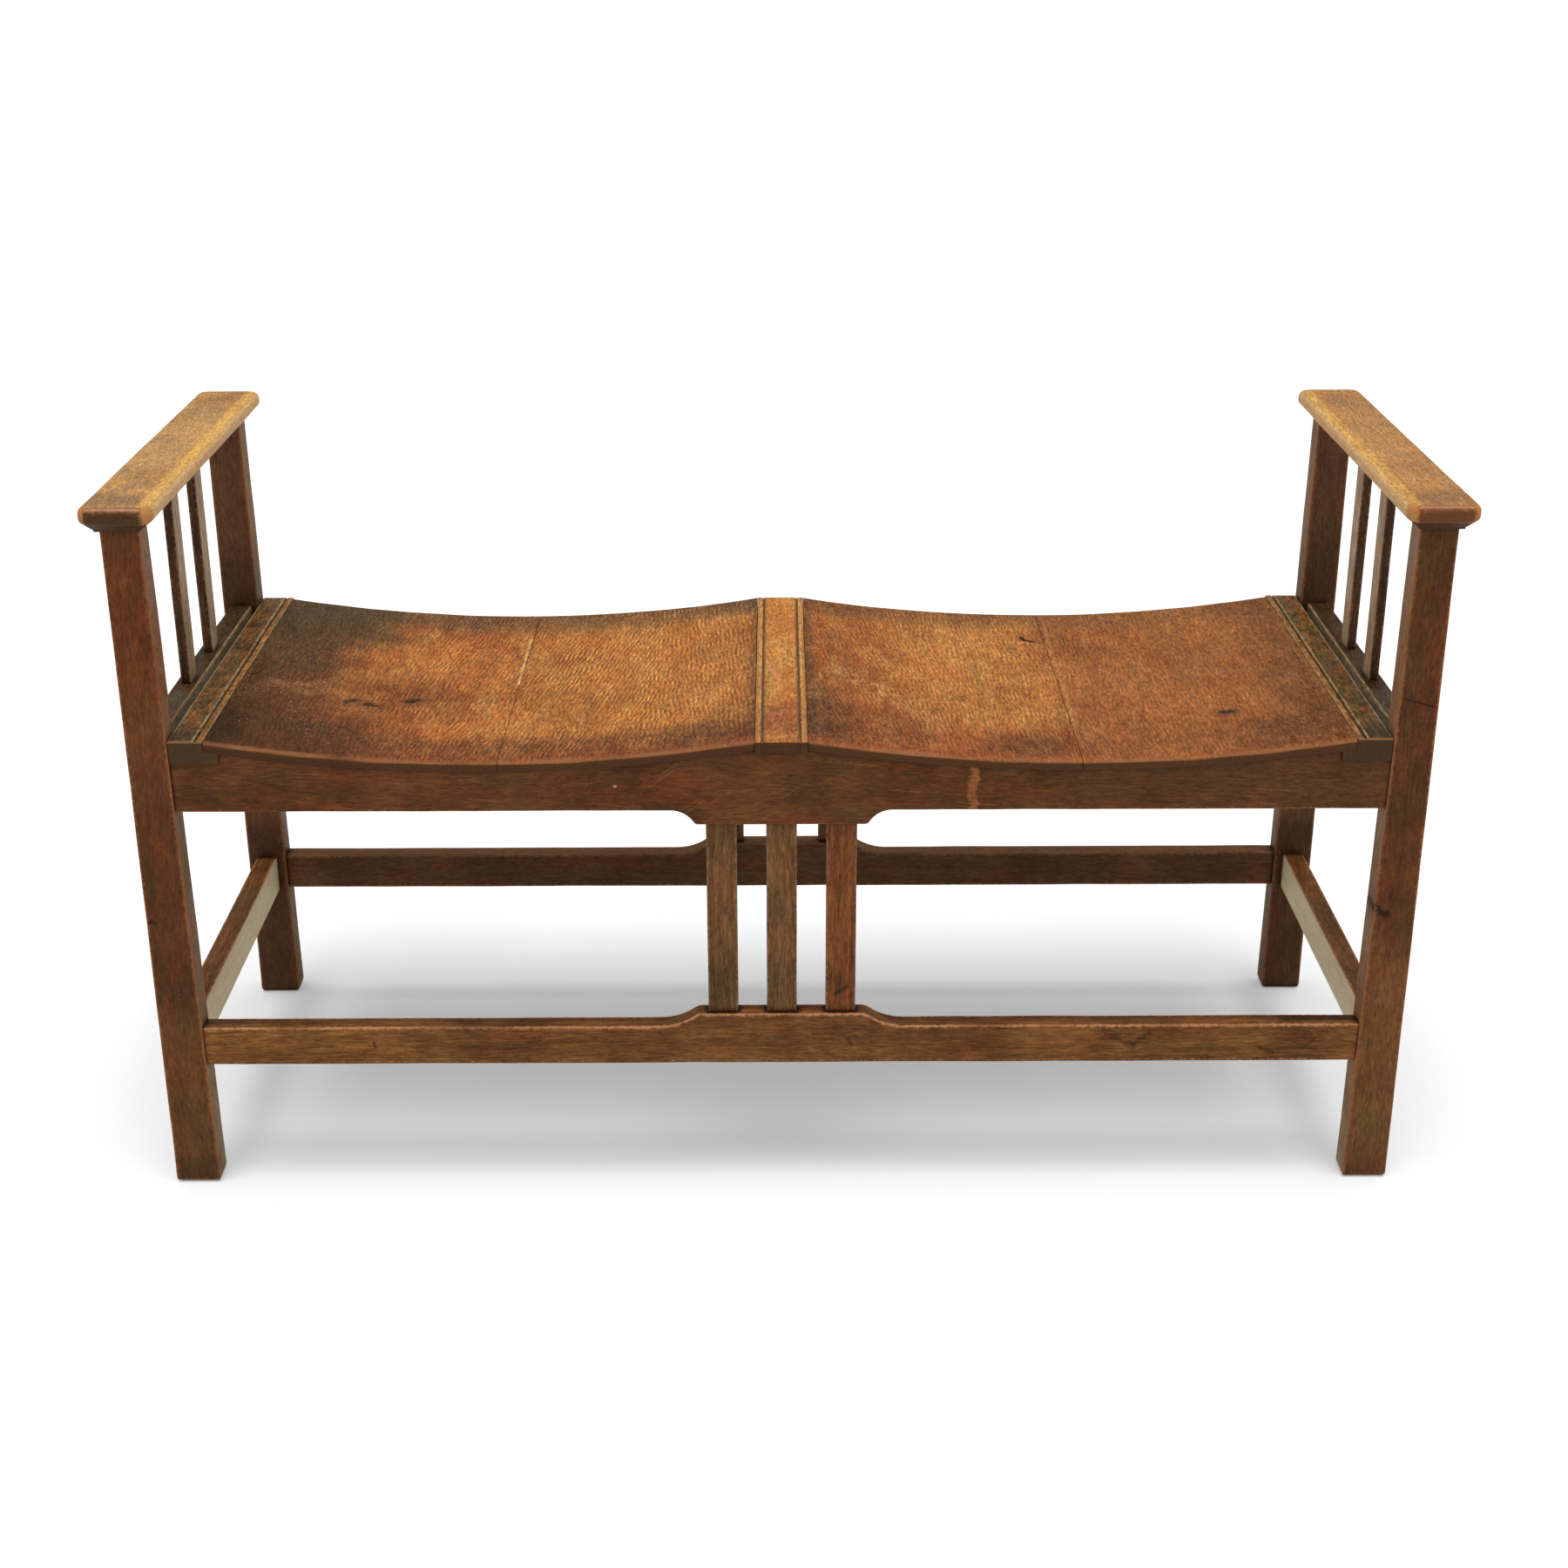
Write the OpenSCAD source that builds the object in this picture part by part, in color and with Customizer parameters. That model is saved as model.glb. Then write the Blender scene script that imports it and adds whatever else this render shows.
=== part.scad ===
// Oak window seat: a joined frame, two dished seat panels and a slatted arm at each end.
// X runs along the seat, the front faces -Y, Z is up and the feet stand on Z = 0.

/* [Overall] */
// Width over the posts
body_w = 1170; // [1050:5:1400]
// Depth over the posts
body_d = 422; // [390:1:480]
// Height of the seat at its ends and at the centre stile
seat_h = 457; // [445:1:475]
// Height of the underside of the arms
arm_under_h = 653; // [620:1:700]

/* [Posts] */
// Width of a post at the floor
post_foot_w = 42; // [39:0.5:46]
// Width of a post under the arm
post_head_w = 34; // [31:0.5:38]
// Depth of a post, front to back
post_d = 28; // [26:0.5:32]
// Chamfer round the end of a foot
foot_chamfer = 2; // [1:0.5:4]

/* [Arms] */
// Thickness of an arm
arm_t = 22; // [20:0.5:26]
// How far an arm stands out past the post heads at its sides
arm_side_overhang = 15; // [13:0.5:20]
// How far an arm stands out past the posts at its front and rear ends
arm_end_overhang = 19; // [13:0.5:24]
// Radius of the arm's corners, seen from above
arm_corner_r = 13; // [13:0.5:16]
// Radius of the arm's upper edge
arm_top_r = 6; // [4:0.5:7]
// Radius of the arm's lower edge, above the undercut
arm_low_r = 5; // [3:0.5:6]
// Height of the arm's nose, between the top and the undercut
arm_nose_h = 14.5; // [13:0.5:15.5]
// How far the undercut runs in from the nose
arm_undercut = 12; // [9:0.5:12.5]
// Height of the square fillet under the undercut
arm_fillet_h = 1.5; // [1:0.5:3]

/* [Seat] */
// How far the seat's front and back edges stand in from the post faces
seat_inset = 1; // [0.5:0.5:4]
// Depth of the dish in each seat panel
dish_depth = 20; // [14:0.5:24]
// Thickness of the seat boards
board_t = 10; // [9:0.5:12]
// Radius of the rounded nosing on the boards' front and back edges
board_nose_r = 4; // [2:0.5:5]
// Distance of the left panel's board joint from the middle of the seat
left_joint_x = 255; // [200:1:320]
// Distance of the right panel's board joint from the middle of the seat
right_joint_x = 271; // [200:1:320]
// Width of the centre stile between the panels
stile_w = 47.5; // [40:0.5:60]
// Thickness of the centre stile where it lies on the rails
stile_t = 13; // [12:0.5:15]
// Thickness of the centre stile between the rails, with its lips
stile_base_t = 17; // [16:0.5:19]
// Width of the lip on each side of the stile that carries the boards
stile_lip_w = 7.5; // [5:0.5:10]
// Width of a seat bearer's top
bearer_w = 31.5; // [28:0.5:40]
// Thickness of a seat bearer
bearer_t = 22; // [20:0.5:26]
// Width of the lip inside a bearer that carries the boards
bearer_lip_w = 13; // [8:0.5:16]
// Distance of a scratched line from the edge beside the boards
scratch_inset = 6.5; // [4:0.5:9]
// Width of a scratched line
scratch_w = 1.6; // [1:0.1:2.5]
// Depth of a scratched line
scratch_depth = 1; // [0.5:0.1:1.5]

/* [Rails] */
// Thickness of the front and rear rails
rail_t = 20; // [18:0.5:22]
// How far the rail and stretcher faces stand in from the post faces
rail_setback = 3; // [2:0.5:4]
// Height of the rails, from their lower edges up to the seat's ends
rail_h = 69; // [60:1:80]
// Thickness of the seat rails at the ends
seat_rail_t = 22; // [20:0.5:24]
// Drop of the rails' lower edge over the middle slats
drop_h = 14; // [8:0.5:18]
// Length of the flat part of the drop
drop_flat_l = 152; // [148:1:180]
// Length of the curve at each end of the drop
drop_run = 25; // [20:1:40]

/* [Stretchers] */
// Thickness of the front and rear stretchers
stretcher_t = 20; // [18:0.5:22]
// Thickness of the end stretchers
end_stretcher_t = 22; // [20:0.5:24]
// Height of a stretcher, edge to edge
stretcher_h = 39; // [34:0.5:44]
// Height of the stretchers' lower edges
stretcher_under_h = 128; // [110:1:140]
// Rise of the stretcher's upper edge under the middle slats
rise_h = 13; // [8:0.5:16]
// Length of the flat part of the rise
rise_flat_l = 152; // [148:1:180]
// Length of the curve at each end of the rise
rise_run = 40; // [28:1:50]

/* [Slats] */
// Width of a middle slat
slat_w = 28; // [22:0.5:32]
// Thickness of every slat
slat_t = 9; // [7:0.5:10]
// Spacing of the three middle slats
slat_pitch = 55; // [45:0.5:57]
// Width of a slat under an arm
arm_slat_w = 25; // [20:0.5:30]
// Spacing of the two slats under an arm
arm_slat_pitch = 91; // [70:1:120]

/* [Joints] */
// Thickness of the tenons
tenon_t = 9; // [7:0.5:10]
// Shoulder above and below a tenon
tenon_shoulder = 6; // [4:0.5:8]
// Wood left between two mortices that meet in a post
mortice_wall = 2; // [1:0.5:4]
// Length of the tenons on the end rails and end stretchers
end_tenon_l = 16; // [12:0.5:18]
// Height of the tenon on a post's head
head_tenon_h = 12; // [8:0.5:14]
// Depth that a slat is housed at each end
housing_depth = 8; // [5:0.5:10]
// Clearance round a tenon or a housed slat
joint_gap = 0.1; // [0.05:0.05:0.3]
// Clearance between the seat's pieces
seat_gap = 0.3; // [0.2:0.1:0.6]

/* [Hidden] */

frame_oak = "#5c3a22";
slat_oak = "#6b4426";
board_oak = "#8f5730";
bearer_oak = "#4b3824";
stile_oak = "#a8733a";
arm_oak = "#b07c42";

// Facets of a small round edge and of the wide dish curve
$fn = 64;
dish_fn = 720;
// Degrees that a bent board's ring runs on past its panel before it is trimmed
ring_spare = 1;
// Overrun of every cut past the wood that it cuts
overrun = 5;
// Share of the curve of a drop or rise that its tighter bend takes, and the steps in each bend
tight_bend_share = 0.15;
bend_steps = 8;

// A post tapers on its inner face only, so these follow its height
function post_w_at(z) = post_foot_w + (post_head_w - post_foot_w) * z / arm_under_h;
function post_inner_x(z) = body_w / 2 - post_w_at(z);
function post_mid_x(z) = body_w / 2 - post_w_at(z) / 2;

post_gap_d = body_d - 2 * post_d;
// Length of the bars between the posts before their ends are cut to the posts' slant
long_bar_l = body_w - post_head_w;
rail_y = body_d / 2 - rail_setback - rail_t / 2;
stretcher_y = body_d / 2 - rail_setback - stretcher_t / 2;
stretcher_top_h = stretcher_under_h + stretcher_h;

rail_under_h = seat_h - rail_h;
seat_rail_x = post_mid_x(rail_under_h + rail_h / 2);
end_stretcher_x = post_mid_x(stretcher_under_h + stretcher_h / 2);
rail_tip_x = seat_rail_x - tenon_t / 2 - mortice_wall;
stretcher_tip_x = end_stretcher_x - tenon_t / 2 - mortice_wall;

arm_x = post_mid_x(arm_under_h);
arm_w = post_head_w + 2 * arm_side_overhang;
arm_l = body_d + 2 * arm_end_overhang;

seat_d = body_d - 2 * seat_inset;
bearer_under_h = seat_h - bearer_t;
bearer_outer_x = post_inner_x(bearer_under_h) - seat_gap;
panel_end_x = bearer_outer_x - bearer_w;
lip_end_x = panel_end_x - bearer_lip_w;
stile_base_w = stile_w + 2 * stile_lip_w;
// The stile's lips lie between the rails, so they don't show at its ends
stile_lip_l = 2 * (rail_y - rail_t / 2 - seat_gap);
panel_mid_x = (panel_end_x + stile_w / 2) / 2;
panel_half_w = (panel_end_x - stile_w / 2) / 2;
dish_r = (panel_half_w * panel_half_w + dish_depth * dish_depth) / (2 * dish_depth);
dish_axis_h = seat_h - dish_depth + dish_r;
dish_half_angle = asin(panel_half_w / (dish_r - board_t)) + ring_spare;

drop_under_h = rail_under_h - drop_h;
rise_top_h = stretcher_top_h + rise_h;
// The middle slats stand on the rail's centre line
slat_y = rail_y;

// Draws its child on the left (-1) or right (1), and at the front (-1) or rear (1)
module on_side(side) {
    if (side < 0) mirror([1, 0, 0]) children();
    else children();
}

module on_face(face) {
    if (face < 0) mirror([0, 1, 0]) children();
    else children();
}

// As on_side, for an outline
module outline_side(side) {
    if (side < 0) mirror([1, 0]) children();
    else children();
}

// Extrudes an outline drawn in X and Z along Y, centred on y
module along_y(y, depth) {
    translate([0, y + depth / 2, 0]) rotate([90, 0, 0]) linear_extrude(depth) children();
}

// Extrudes an outline drawn in Y and Z along X, centred on x
module along_x(x, width) {
    translate([x - width / 2, 0, 0]) rotate([90, 0, 90]) linear_extrude(width) children();
}

// A box centred on x and y that stands on z
module block(x, y, z, size) {
    translate([x - size.x / 2, y - size.y / 2, z]) cube(size);
}

// Points along an arc, clockwise from the direction from to the direction to, without its first point
function arc_points(centre, radius, from, to) = [
    for (i = [1 : bend_steps]) let (a = from + (to - from) * i / bend_steps)
        centre + radius * [sin(a), cos(a)]
];

// A low mound with a flat top and ogee ends, on the line Z = 0
module swell_outline(flat_l, run, height) {
    bend = 2 * atan(height / run);
    wide_r = (1 - tight_bend_share) * run / sin(bend);
    tight_r = tight_bend_share * run / sin(bend);
    flat_x = flat_l / 2;
    end_x = flat_x + run;
    half = concat(
        [[flat_x, height]],
        arc_points([flat_x, height - tight_r], tight_r, 0, bend),
        arc_points([end_x, wide_r], -wide_r, bend, 0)
    );
    polygon(concat(
        half, [[end_x, -height], [-end_x, -height]],
        [for (i = [len(half) - 1 : -1 : 0]) [-half[i].x, half[i].y]]
    ));
}

// The four posts' solid shape, drawn at the rear right
module post_blank() {
    c = foot_chamfer;
    outer_x = body_w / 2;
    back_y = body_d / 2;
    intersection() {
        along_y(back_y - post_d / 2, post_d) polygon([
            [outer_x - post_foot_w + c, 0], [outer_x - c, 0], [outer_x, c], [outer_x, arm_under_h],
            [outer_x - post_head_w, arm_under_h], [post_inner_x(c), c]
        ]);
        along_x(outer_x - post_foot_w / 2, post_foot_w) polygon([
            [back_y - post_d + c, 0], [back_y - c, 0], [back_y, c], [back_y, arm_under_h],
            [back_y - post_d, arm_under_h], [back_y - post_d, c]
        ]);
    }
}

// The tenon on a post's head, or with a gap the mortice that it fills in the arm
module head_tenon(gap) {
    w = post_head_w - 2 * tenon_shoulder + 2 * gap;
    d = post_d - 2 * tenon_shoulder + 2 * gap;
    block(arm_x, body_d / 2 - post_d / 2, arm_under_h - overrun, [w, d, head_tenon_h + overrun + gap]);
}

// A tenon that runs along X to both posts, or with a gap its two mortices
module long_tenon(tip_x, y, under_h, height, gap) {
    l = 2 * (tip_x + gap);
    h = height - 2 * tenon_shoulder + 2 * gap;
    block(0, y, under_h + tenon_shoulder - gap, [l, tenon_t + 2 * gap, h]);
}

// A tenon that runs along Y to both posts, or with a gap its two mortices
module end_tenon(x, under_h, height, gap) {
    l = post_gap_d + 2 * (end_tenon_l + gap);
    h = height - 2 * tenon_shoulder + 2 * gap;
    block(x, 0, under_h + tenon_shoulder - gap, [tenon_t + 2 * gap, l, h]);
}

module post(side, face) {
    color(frame_oak) on_side(side) on_face(face) difference() {
        union() {
            post_blank();
            head_tenon(0);
        }
        long_tenon(rail_tip_x, rail_y, rail_under_h, bearer_under_h - rail_under_h, joint_gap);
        long_tenon(stretcher_tip_x, stretcher_y, stretcher_under_h, stretcher_h, joint_gap);
        end_tenon(seat_rail_x, rail_under_h, rail_h, joint_gap);
        end_tenon(end_stretcher_x, stretcher_under_h, stretcher_h, joint_gap);
    }
}

// A middle slat of the rear face, or with a gap the two housings that it stands in
module middle_slat_form(place, gap) {
    h = drop_under_h - rise_top_h + 2 * (housing_depth + gap);
    size = [slat_w + 2 * gap, slat_t + 2 * gap, h];
    block(place * slat_pitch, slat_y, rise_top_h - housing_depth - gap, size);
}

module middle_slat(face, place) {
    color(slat_oak) on_face(face) middle_slat_form(place, 0);
}

// A slat under the right arm, or with a gap the two housings that it stands in
module arm_slat_form(place, gap) {
    h = arm_under_h - seat_h + 2 * (housing_depth + gap);
    size = [slat_t + 2 * gap, arm_slat_w + 2 * gap, h];
    block(seat_rail_x, place * arm_slat_pitch / 2, seat_h - housing_depth - gap, size);
}

module arm_slat(side, place) {
    color(slat_oak) on_side(side) arm_slat_form(place, 0);
}

// The space over the underside of one panel's boards, between x_from and x_to
module over_boards_outline(x_from, x_to) {
    intersection() {
        translate([panel_mid_x, dish_axis_h]) circle(dish_r + board_t, $fn = dish_fn);
        translate([x_from, seat_h - dish_depth - board_t - overrun])
            square([x_to - x_from, dish_depth + board_t + 2 * overrun]);
    }
}

// The outline in X and Z of all that the seat takes out of a rail
module rail_seat_outline() {
    for (side = [-1, 1]) outline_side(side) {
        over_boards_outline(0, panel_end_x);
        translate([lip_end_x, bearer_under_h]) square([body_w / 2 - lip_end_x, bearer_t + overrun]);
    }
    translate([-stile_w / 2, seat_h - stile_t]) square([stile_w, stile_t + overrun]);
}

// A bar between the posts of one face, cut to the slant of their inner faces
module between_posts() {
    difference() {
        children();
        for (side = [-1, 1]) on_side(side) post_blank();
    }
}

module long_rail(face) {
    color(frame_oak) on_face(face) difference() {
        union() {
            between_posts() along_y(rail_y, rail_t) {
                translate([-long_bar_l / 2, rail_under_h]) square([long_bar_l, rail_h]);
                translate([0, rail_under_h]) mirror([0, 1]) swell_outline(drop_flat_l, drop_run, drop_h);
            }
            long_tenon(rail_tip_x, rail_y, rail_under_h, bearer_under_h - rail_under_h, 0);
        }
        for (place = [-1 : 1]) middle_slat_form(place, joint_gap);
        along_y(rail_y, rail_t + 2 * overrun) rail_seat_outline();
    }
}

module long_stretcher(face) {
    color(frame_oak) on_face(face) difference() {
        union() {
            between_posts() along_y(stretcher_y, stretcher_t) {
                translate([-long_bar_l / 2, stretcher_under_h]) square([long_bar_l, stretcher_h]);
                translate([0, stretcher_top_h]) swell_outline(rise_flat_l, rise_run, rise_h);
            }
            long_tenon(stretcher_tip_x, stretcher_y, stretcher_under_h, stretcher_h, 0);
        }
        for (place = [-1 : 1]) middle_slat_form(place, joint_gap);
    }
}

module seat_rail(side) {
    color(frame_oak) on_side(side) difference() {
        union() {
            block(seat_rail_x, 0, rail_under_h, [seat_rail_t, post_gap_d, rail_h]);
            end_tenon(seat_rail_x, rail_under_h, rail_h, 0);
        }
        for (place = [-1, 1]) arm_slat_form(place, joint_gap);
    }
}

module end_stretcher(side) {
    color(frame_oak) on_side(side) {
        block(end_stretcher_x, 0, stretcher_under_h, [end_stretcher_t, post_gap_d, stretcher_h]);
        end_tenon(end_stretcher_x, stretcher_under_h, stretcher_h, 0);
    }
}

// The arm's section across a width: rounded nose, sloping undercut and square fillet
module arm_outline(width) {
    half = width / 2;
    fillet_half = half - arm_undercut;
    nose_z = arm_t - arm_nose_h;
    low_x = half - arm_low_r;
    top_x = half - arm_top_r;
    translate([-fillet_half, 0]) square([2 * fillet_half, arm_t]);
    polygon([
        [-fillet_half, arm_fillet_h], [fillet_half, arm_fillet_h],
        [low_x, nose_z], [low_x, arm_t - arm_top_r], [-low_x, arm_t - arm_top_r], [-low_x, nose_z]
    ]);
    translate([-top_x, nose_z]) square([2 * top_x, arm_nose_h]);
    translate([-half, nose_z + arm_low_r]) square([width, arm_nose_h - arm_low_r - arm_top_r]);
    for (end = [-1, 1]) {
        translate([end * top_x, arm_t - arm_top_r]) circle(arm_top_r);
        translate([end * low_x, nose_z + arm_low_r]) circle(arm_low_r);
    }
}

// One corner of an arm, its moulding turned about the corner's centre
module arm_corner() {
    rotate_extrude() intersection() {
        arm_outline(2 * arm_corner_r);
        square([arm_corner_r, arm_t]);
    }
}

module arm(side) {
    corner_x = arm_w / 2 - arm_corner_r;
    corner_y = arm_l / 2 - arm_corner_r;
    color(arm_oak) on_side(side) difference() {
        translate([arm_x, 0, arm_under_h]) {
            along_y(0, 2 * corner_y) arm_outline(arm_w);
            along_x(0, 2 * corner_x) arm_outline(arm_l);
            for (x = [-corner_x, corner_x], y = [-corner_y, corner_y]) translate([x, y, 0]) arm_corner();
        }
        for (face = [-1, 1]) on_face(face) head_tenon(joint_gap);
        for (place = [-1, 1]) arm_slat_form(place, joint_gap);
    }
}

// A section with its two upper corners rounded, from Z = 0 up to height
module nosed_outline(length, height) {
    flat_half = length / 2 - board_nose_r;
    translate([-length / 2, 0]) square([length, height - board_nose_r]);
    translate([-flat_half, 0]) square([2 * flat_half, height]);
    for (end = [-1, 1]) translate([end * flat_half, height - board_nose_r]) circle(board_nose_r);
}

// A line scratched along the seat, front to back, at x
module scratch(x) {
    block(x, 0, seat_h - scratch_depth, [scratch_w, seat_d + 2 * overrun, scratch_depth + overrun]);
}

module seat_bearer(side) {
    color(bearer_oak) on_side(side) difference() {
        along_y(0, seat_d) difference() {
            translate([lip_end_x, bearer_under_h]) square([bearer_outer_x - lip_end_x, bearer_t]);
            over_boards_outline(panel_mid_x, panel_end_x);
        }
        scratch(panel_end_x + scratch_inset);
    }
}

module centre_stile() {
    color(stile_oak) difference() {
        union() {
            along_x(0, stile_w) translate([0, seat_h - stile_t]) nosed_outline(seat_d, stile_t);
            along_y(0, stile_lip_l) difference() {
                translate([-stile_base_w / 2, seat_h - stile_base_t])
                    square([stile_base_w, stile_base_t - board_nose_r]);
                for (side = [-1, 1]) outline_side(side) over_boards_outline(0, panel_mid_x);
            }
        }
        for (side = [-1, 1]) scratch(side * (stile_w / 2 - scratch_inset));
    }
}

// A bent seat board between x_from and x_to, part of a wide ring round the dish's axis
module board(side, x_from, x_to) {
    color(board_oak) on_side(side) intersection() {
        translate([panel_mid_x, 0, dish_axis_h]) rotate([90, 0, 0]) rotate([0, 0, 270 - dish_half_angle])
            rotate_extrude(angle = 2 * dish_half_angle, $fn = dish_fn)
                translate([dish_r + board_t, 0]) rotate(90) nosed_outline(seat_d, board_t);
        block((x_from + x_to) / 2, 0, seat_h - dish_depth - board_t - overrun,
            [x_to - x_from, seat_d + 2 * overrun, dish_depth + board_t + 2 * overrun]);
    }
}

module outer_board(side, joint_x) {
    board(side, joint_x + seat_gap / 2, panel_end_x - seat_gap);
}

module inner_board(side, joint_x) {
    board(side, stile_w / 2 + seat_gap, joint_x - seat_gap / 2);
}

post(-1, -1);  // front_left_post
post(1, -1);  // front_right_post
post(-1, 1);  // rear_left_post
post(1, 1);  // rear_right_post
long_rail(-1);  // front_rail
long_rail(1);  // rear_rail
seat_rail(-1);  // left_seat_rail
seat_rail(1);  // right_seat_rail
long_stretcher(-1);  // front_stretcher
long_stretcher(1);  // rear_stretcher
end_stretcher(-1);  // left_stretcher
end_stretcher(1);  // right_stretcher
middle_slat(-1, -1);  // front_slat_left
middle_slat(-1, 0);  // front_slat_middle
middle_slat(-1, 1);  // front_slat_right
middle_slat(1, -1);  // rear_slat_left
middle_slat(1, 0);  // rear_slat_middle
middle_slat(1, 1);  // rear_slat_right
arm(-1);  // left_arm
arm(1);  // right_arm
arm_slat(-1, -1);  // left_arm_slat_front
arm_slat(-1, 1);  // left_arm_slat_rear
arm_slat(1, -1);  // right_arm_slat_front
arm_slat(1, 1);  // right_arm_slat_rear
seat_bearer(-1);  // left_seat_bearer
seat_bearer(1);  // right_seat_bearer
centre_stile();
outer_board(-1, left_joint_x);  // left_outer_board
inner_board(-1, left_joint_x);  // left_inner_board
inner_board(1, right_joint_x);  // right_inner_board
outer_board(1, right_joint_x);  // right_outer_board
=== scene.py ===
# Window bench of worn, stained oak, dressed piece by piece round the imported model
import math

import bmesh
import bpy
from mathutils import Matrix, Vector, kdtree, noise


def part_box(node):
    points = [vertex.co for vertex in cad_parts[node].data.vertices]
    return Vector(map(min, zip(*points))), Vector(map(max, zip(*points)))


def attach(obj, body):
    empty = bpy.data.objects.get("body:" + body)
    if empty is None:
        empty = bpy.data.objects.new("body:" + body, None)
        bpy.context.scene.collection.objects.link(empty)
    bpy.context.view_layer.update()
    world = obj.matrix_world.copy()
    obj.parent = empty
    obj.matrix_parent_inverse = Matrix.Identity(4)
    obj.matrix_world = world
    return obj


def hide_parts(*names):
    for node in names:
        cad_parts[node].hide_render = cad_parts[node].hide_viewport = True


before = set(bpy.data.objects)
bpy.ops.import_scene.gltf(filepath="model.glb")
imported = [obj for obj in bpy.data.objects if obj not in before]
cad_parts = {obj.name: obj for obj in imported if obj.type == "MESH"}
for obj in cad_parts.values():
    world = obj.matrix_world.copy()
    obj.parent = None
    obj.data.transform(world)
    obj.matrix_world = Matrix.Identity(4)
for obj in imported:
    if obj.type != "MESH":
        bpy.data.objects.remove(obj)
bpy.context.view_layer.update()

MM = 0.001

# Shape values that the frame's boxes don't give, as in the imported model
BOARD_T = 10 * MM
BOARD_NOSE_R = 4 * MM
BOARD_EDGE_FALL = 1 * MM
BOARD_EDGE_FALL_W = 12 * MM
SEAT_GAP = 0.3 * MM
DROP_RUN = 25 * MM
RISE_RUN = 40 * MM
TIGHT_BEND_SHARE = 0.15
SCRATCH_INSET = 6.5 * MM
SCRATCH_W = 1.6 * MM
SCRATCH_DEPTH = 1 * MM
STILE_T = 13 * MM
ARM_CORNER_R = 13 * MM
ARM_TOP_R = 6 * MM
ARM_LOW_R = 5 * MM
ARM_ARRIS_SHARE = 0.3
ARM_ARRIS_HALF_W = 0.6 * MM
ARM_NOSE_H = 14.5 * MM
ARM_UNDERCUT = 12 * MM
ARM_FILLET_H = 1.5 * MM
ARM_UNDERSIDE_IN = 8 * MM
FILLET_BEND = 0.3 * MM
SLAT_HOUSING = 8 * MM

# How worn and uneven the old wood is
ARRIS_R = 1.5 * MM
SOFT_ARRIS_R = 0.7 * MM
END_R = 0.5 * MM
FOOT_R = 6 * MM
ARRIS_CHANGE = 0.45
ARRIS_WAVE = 35 * MM
CORNER_SHIFT = 7.3
UNEVEN = 0.3 * MM
UNEVEN_WAVE = 70 * MM
UNEVEN_SEED = 1
NEAR_ARRIS = (1.5 * MM, 4 * MM, 9 * MM)
FAR_FROM_ARRIS = 15 * MM

# How finely the meshes are cut up, and the small steps between their points
SPACING = 14 * MM
FINE_SPACING = 1.5 * MM
LEAST_SPACING = 0.7 * FINE_SPACING
SAME_PLACE = 0.01 * MM
CUT_STEP = 0.02 * MM
LEAST_R = 0.1 * MM
INNER_R = 0.2 * MM
SCRATCH_R = 0.3 * MM
SMALL_R = 2.5 * MM
SMALL_ARC_STEPS = 4
ARC_STEPS = 8
LOW_ARC_STEPS = 5
TOP_ARC_STEPS = 9
NOSE_ANGLES = (12, 25, 40, 60, 90)
NEAR_SHARE = 0.45
JOINT_GAP = 0.2 * MM


def reach_at(node, height):
    """The lowest and highest corner of a CAD node's points at one height."""
    found = [v.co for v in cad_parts[node].data.vertices if abs(v.co.z - height) < SAME_PLACE]
    return Vector(map(min, zip(*found))), Vector(map(max, zip(*found)))


# Places of the posts and the bars between them, at the rear right
foot_low, foot_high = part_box("rear_right_post")
arm_low, arm_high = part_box("right_arm")
head_low, _ = reach_at("rear_right_post", arm_low.z)
foot_inner_x = foot_low.x
head_inner_x = head_low.x
post_front_y = foot_low.y
seat_rail_low, seat_rail_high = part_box("right_seat_rail")
end_bar_low, end_bar_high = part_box("right_stretcher")
rail_low, rail_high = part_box("rear_rail")
bar_low, bar_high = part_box("rear_stretcher")
drop_flat_x = reach_at("rear_rail", rail_low.z)[1].x
rise_flat_x = reach_at("rear_stretcher", bar_high.z)[1].x

# Places of the seat, on the right
stile_low, stile_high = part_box("centre_stile")
seat_h = stile_high.z
seat_half_d = stile_high.y
bearer_low, bearer_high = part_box("right_seat_bearer")
panel_start_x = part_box("right_inner_board")[0].x - SEAT_GAP
panel_end_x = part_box("right_outer_board")[1].x + SEAT_GAP
panel_mid_x = (panel_start_x + panel_end_x) / 2
panel_half_w = (panel_end_x - panel_start_x) / 2
dish_depth = seat_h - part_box("left_outer_board")[0].z - BOARD_T
dish_r = (panel_half_w ** 2 + dish_depth ** 2) / (2 * dish_depth)
dish_axis_h = seat_h - dish_depth + dish_r
stile_half_w = panel_start_x


def post_inner_x(height):
    """How far out a post's tapering inner face is at a height."""
    share = height / arm_low.z
    return foot_inner_x + (head_inner_x - foot_inner_x) * share


def dish_height(x, thickness=0.0):
    """The height of the boards' upper face at x, or of the face that thickness lower."""
    along = min(abs(abs(x) - panel_mid_x), panel_half_w)
    return dish_axis_h - math.sqrt((dish_r + thickness) ** 2 - along ** 2)


def swell(x, flat_x, run, height):
    """The height at x of a low mound with a flat top and ogee ends."""
    bend = 2 * math.atan(height / run)
    wide_r = (1 - TIGHT_BEND_SHARE) * run / math.sin(bend)
    tight_r = TIGHT_BEND_SHARE * run / math.sin(bend)
    past_flat = max(abs(x) - flat_x, 0)
    to_end = max(flat_x + run - abs(x), 0)
    if past_flat < TIGHT_BEND_SHARE * run:
        return height - tight_r + math.sqrt(tight_r ** 2 - past_flat ** 2)
    return wide_r - math.sqrt(wide_r ** 2 - to_end ** 2)


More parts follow.
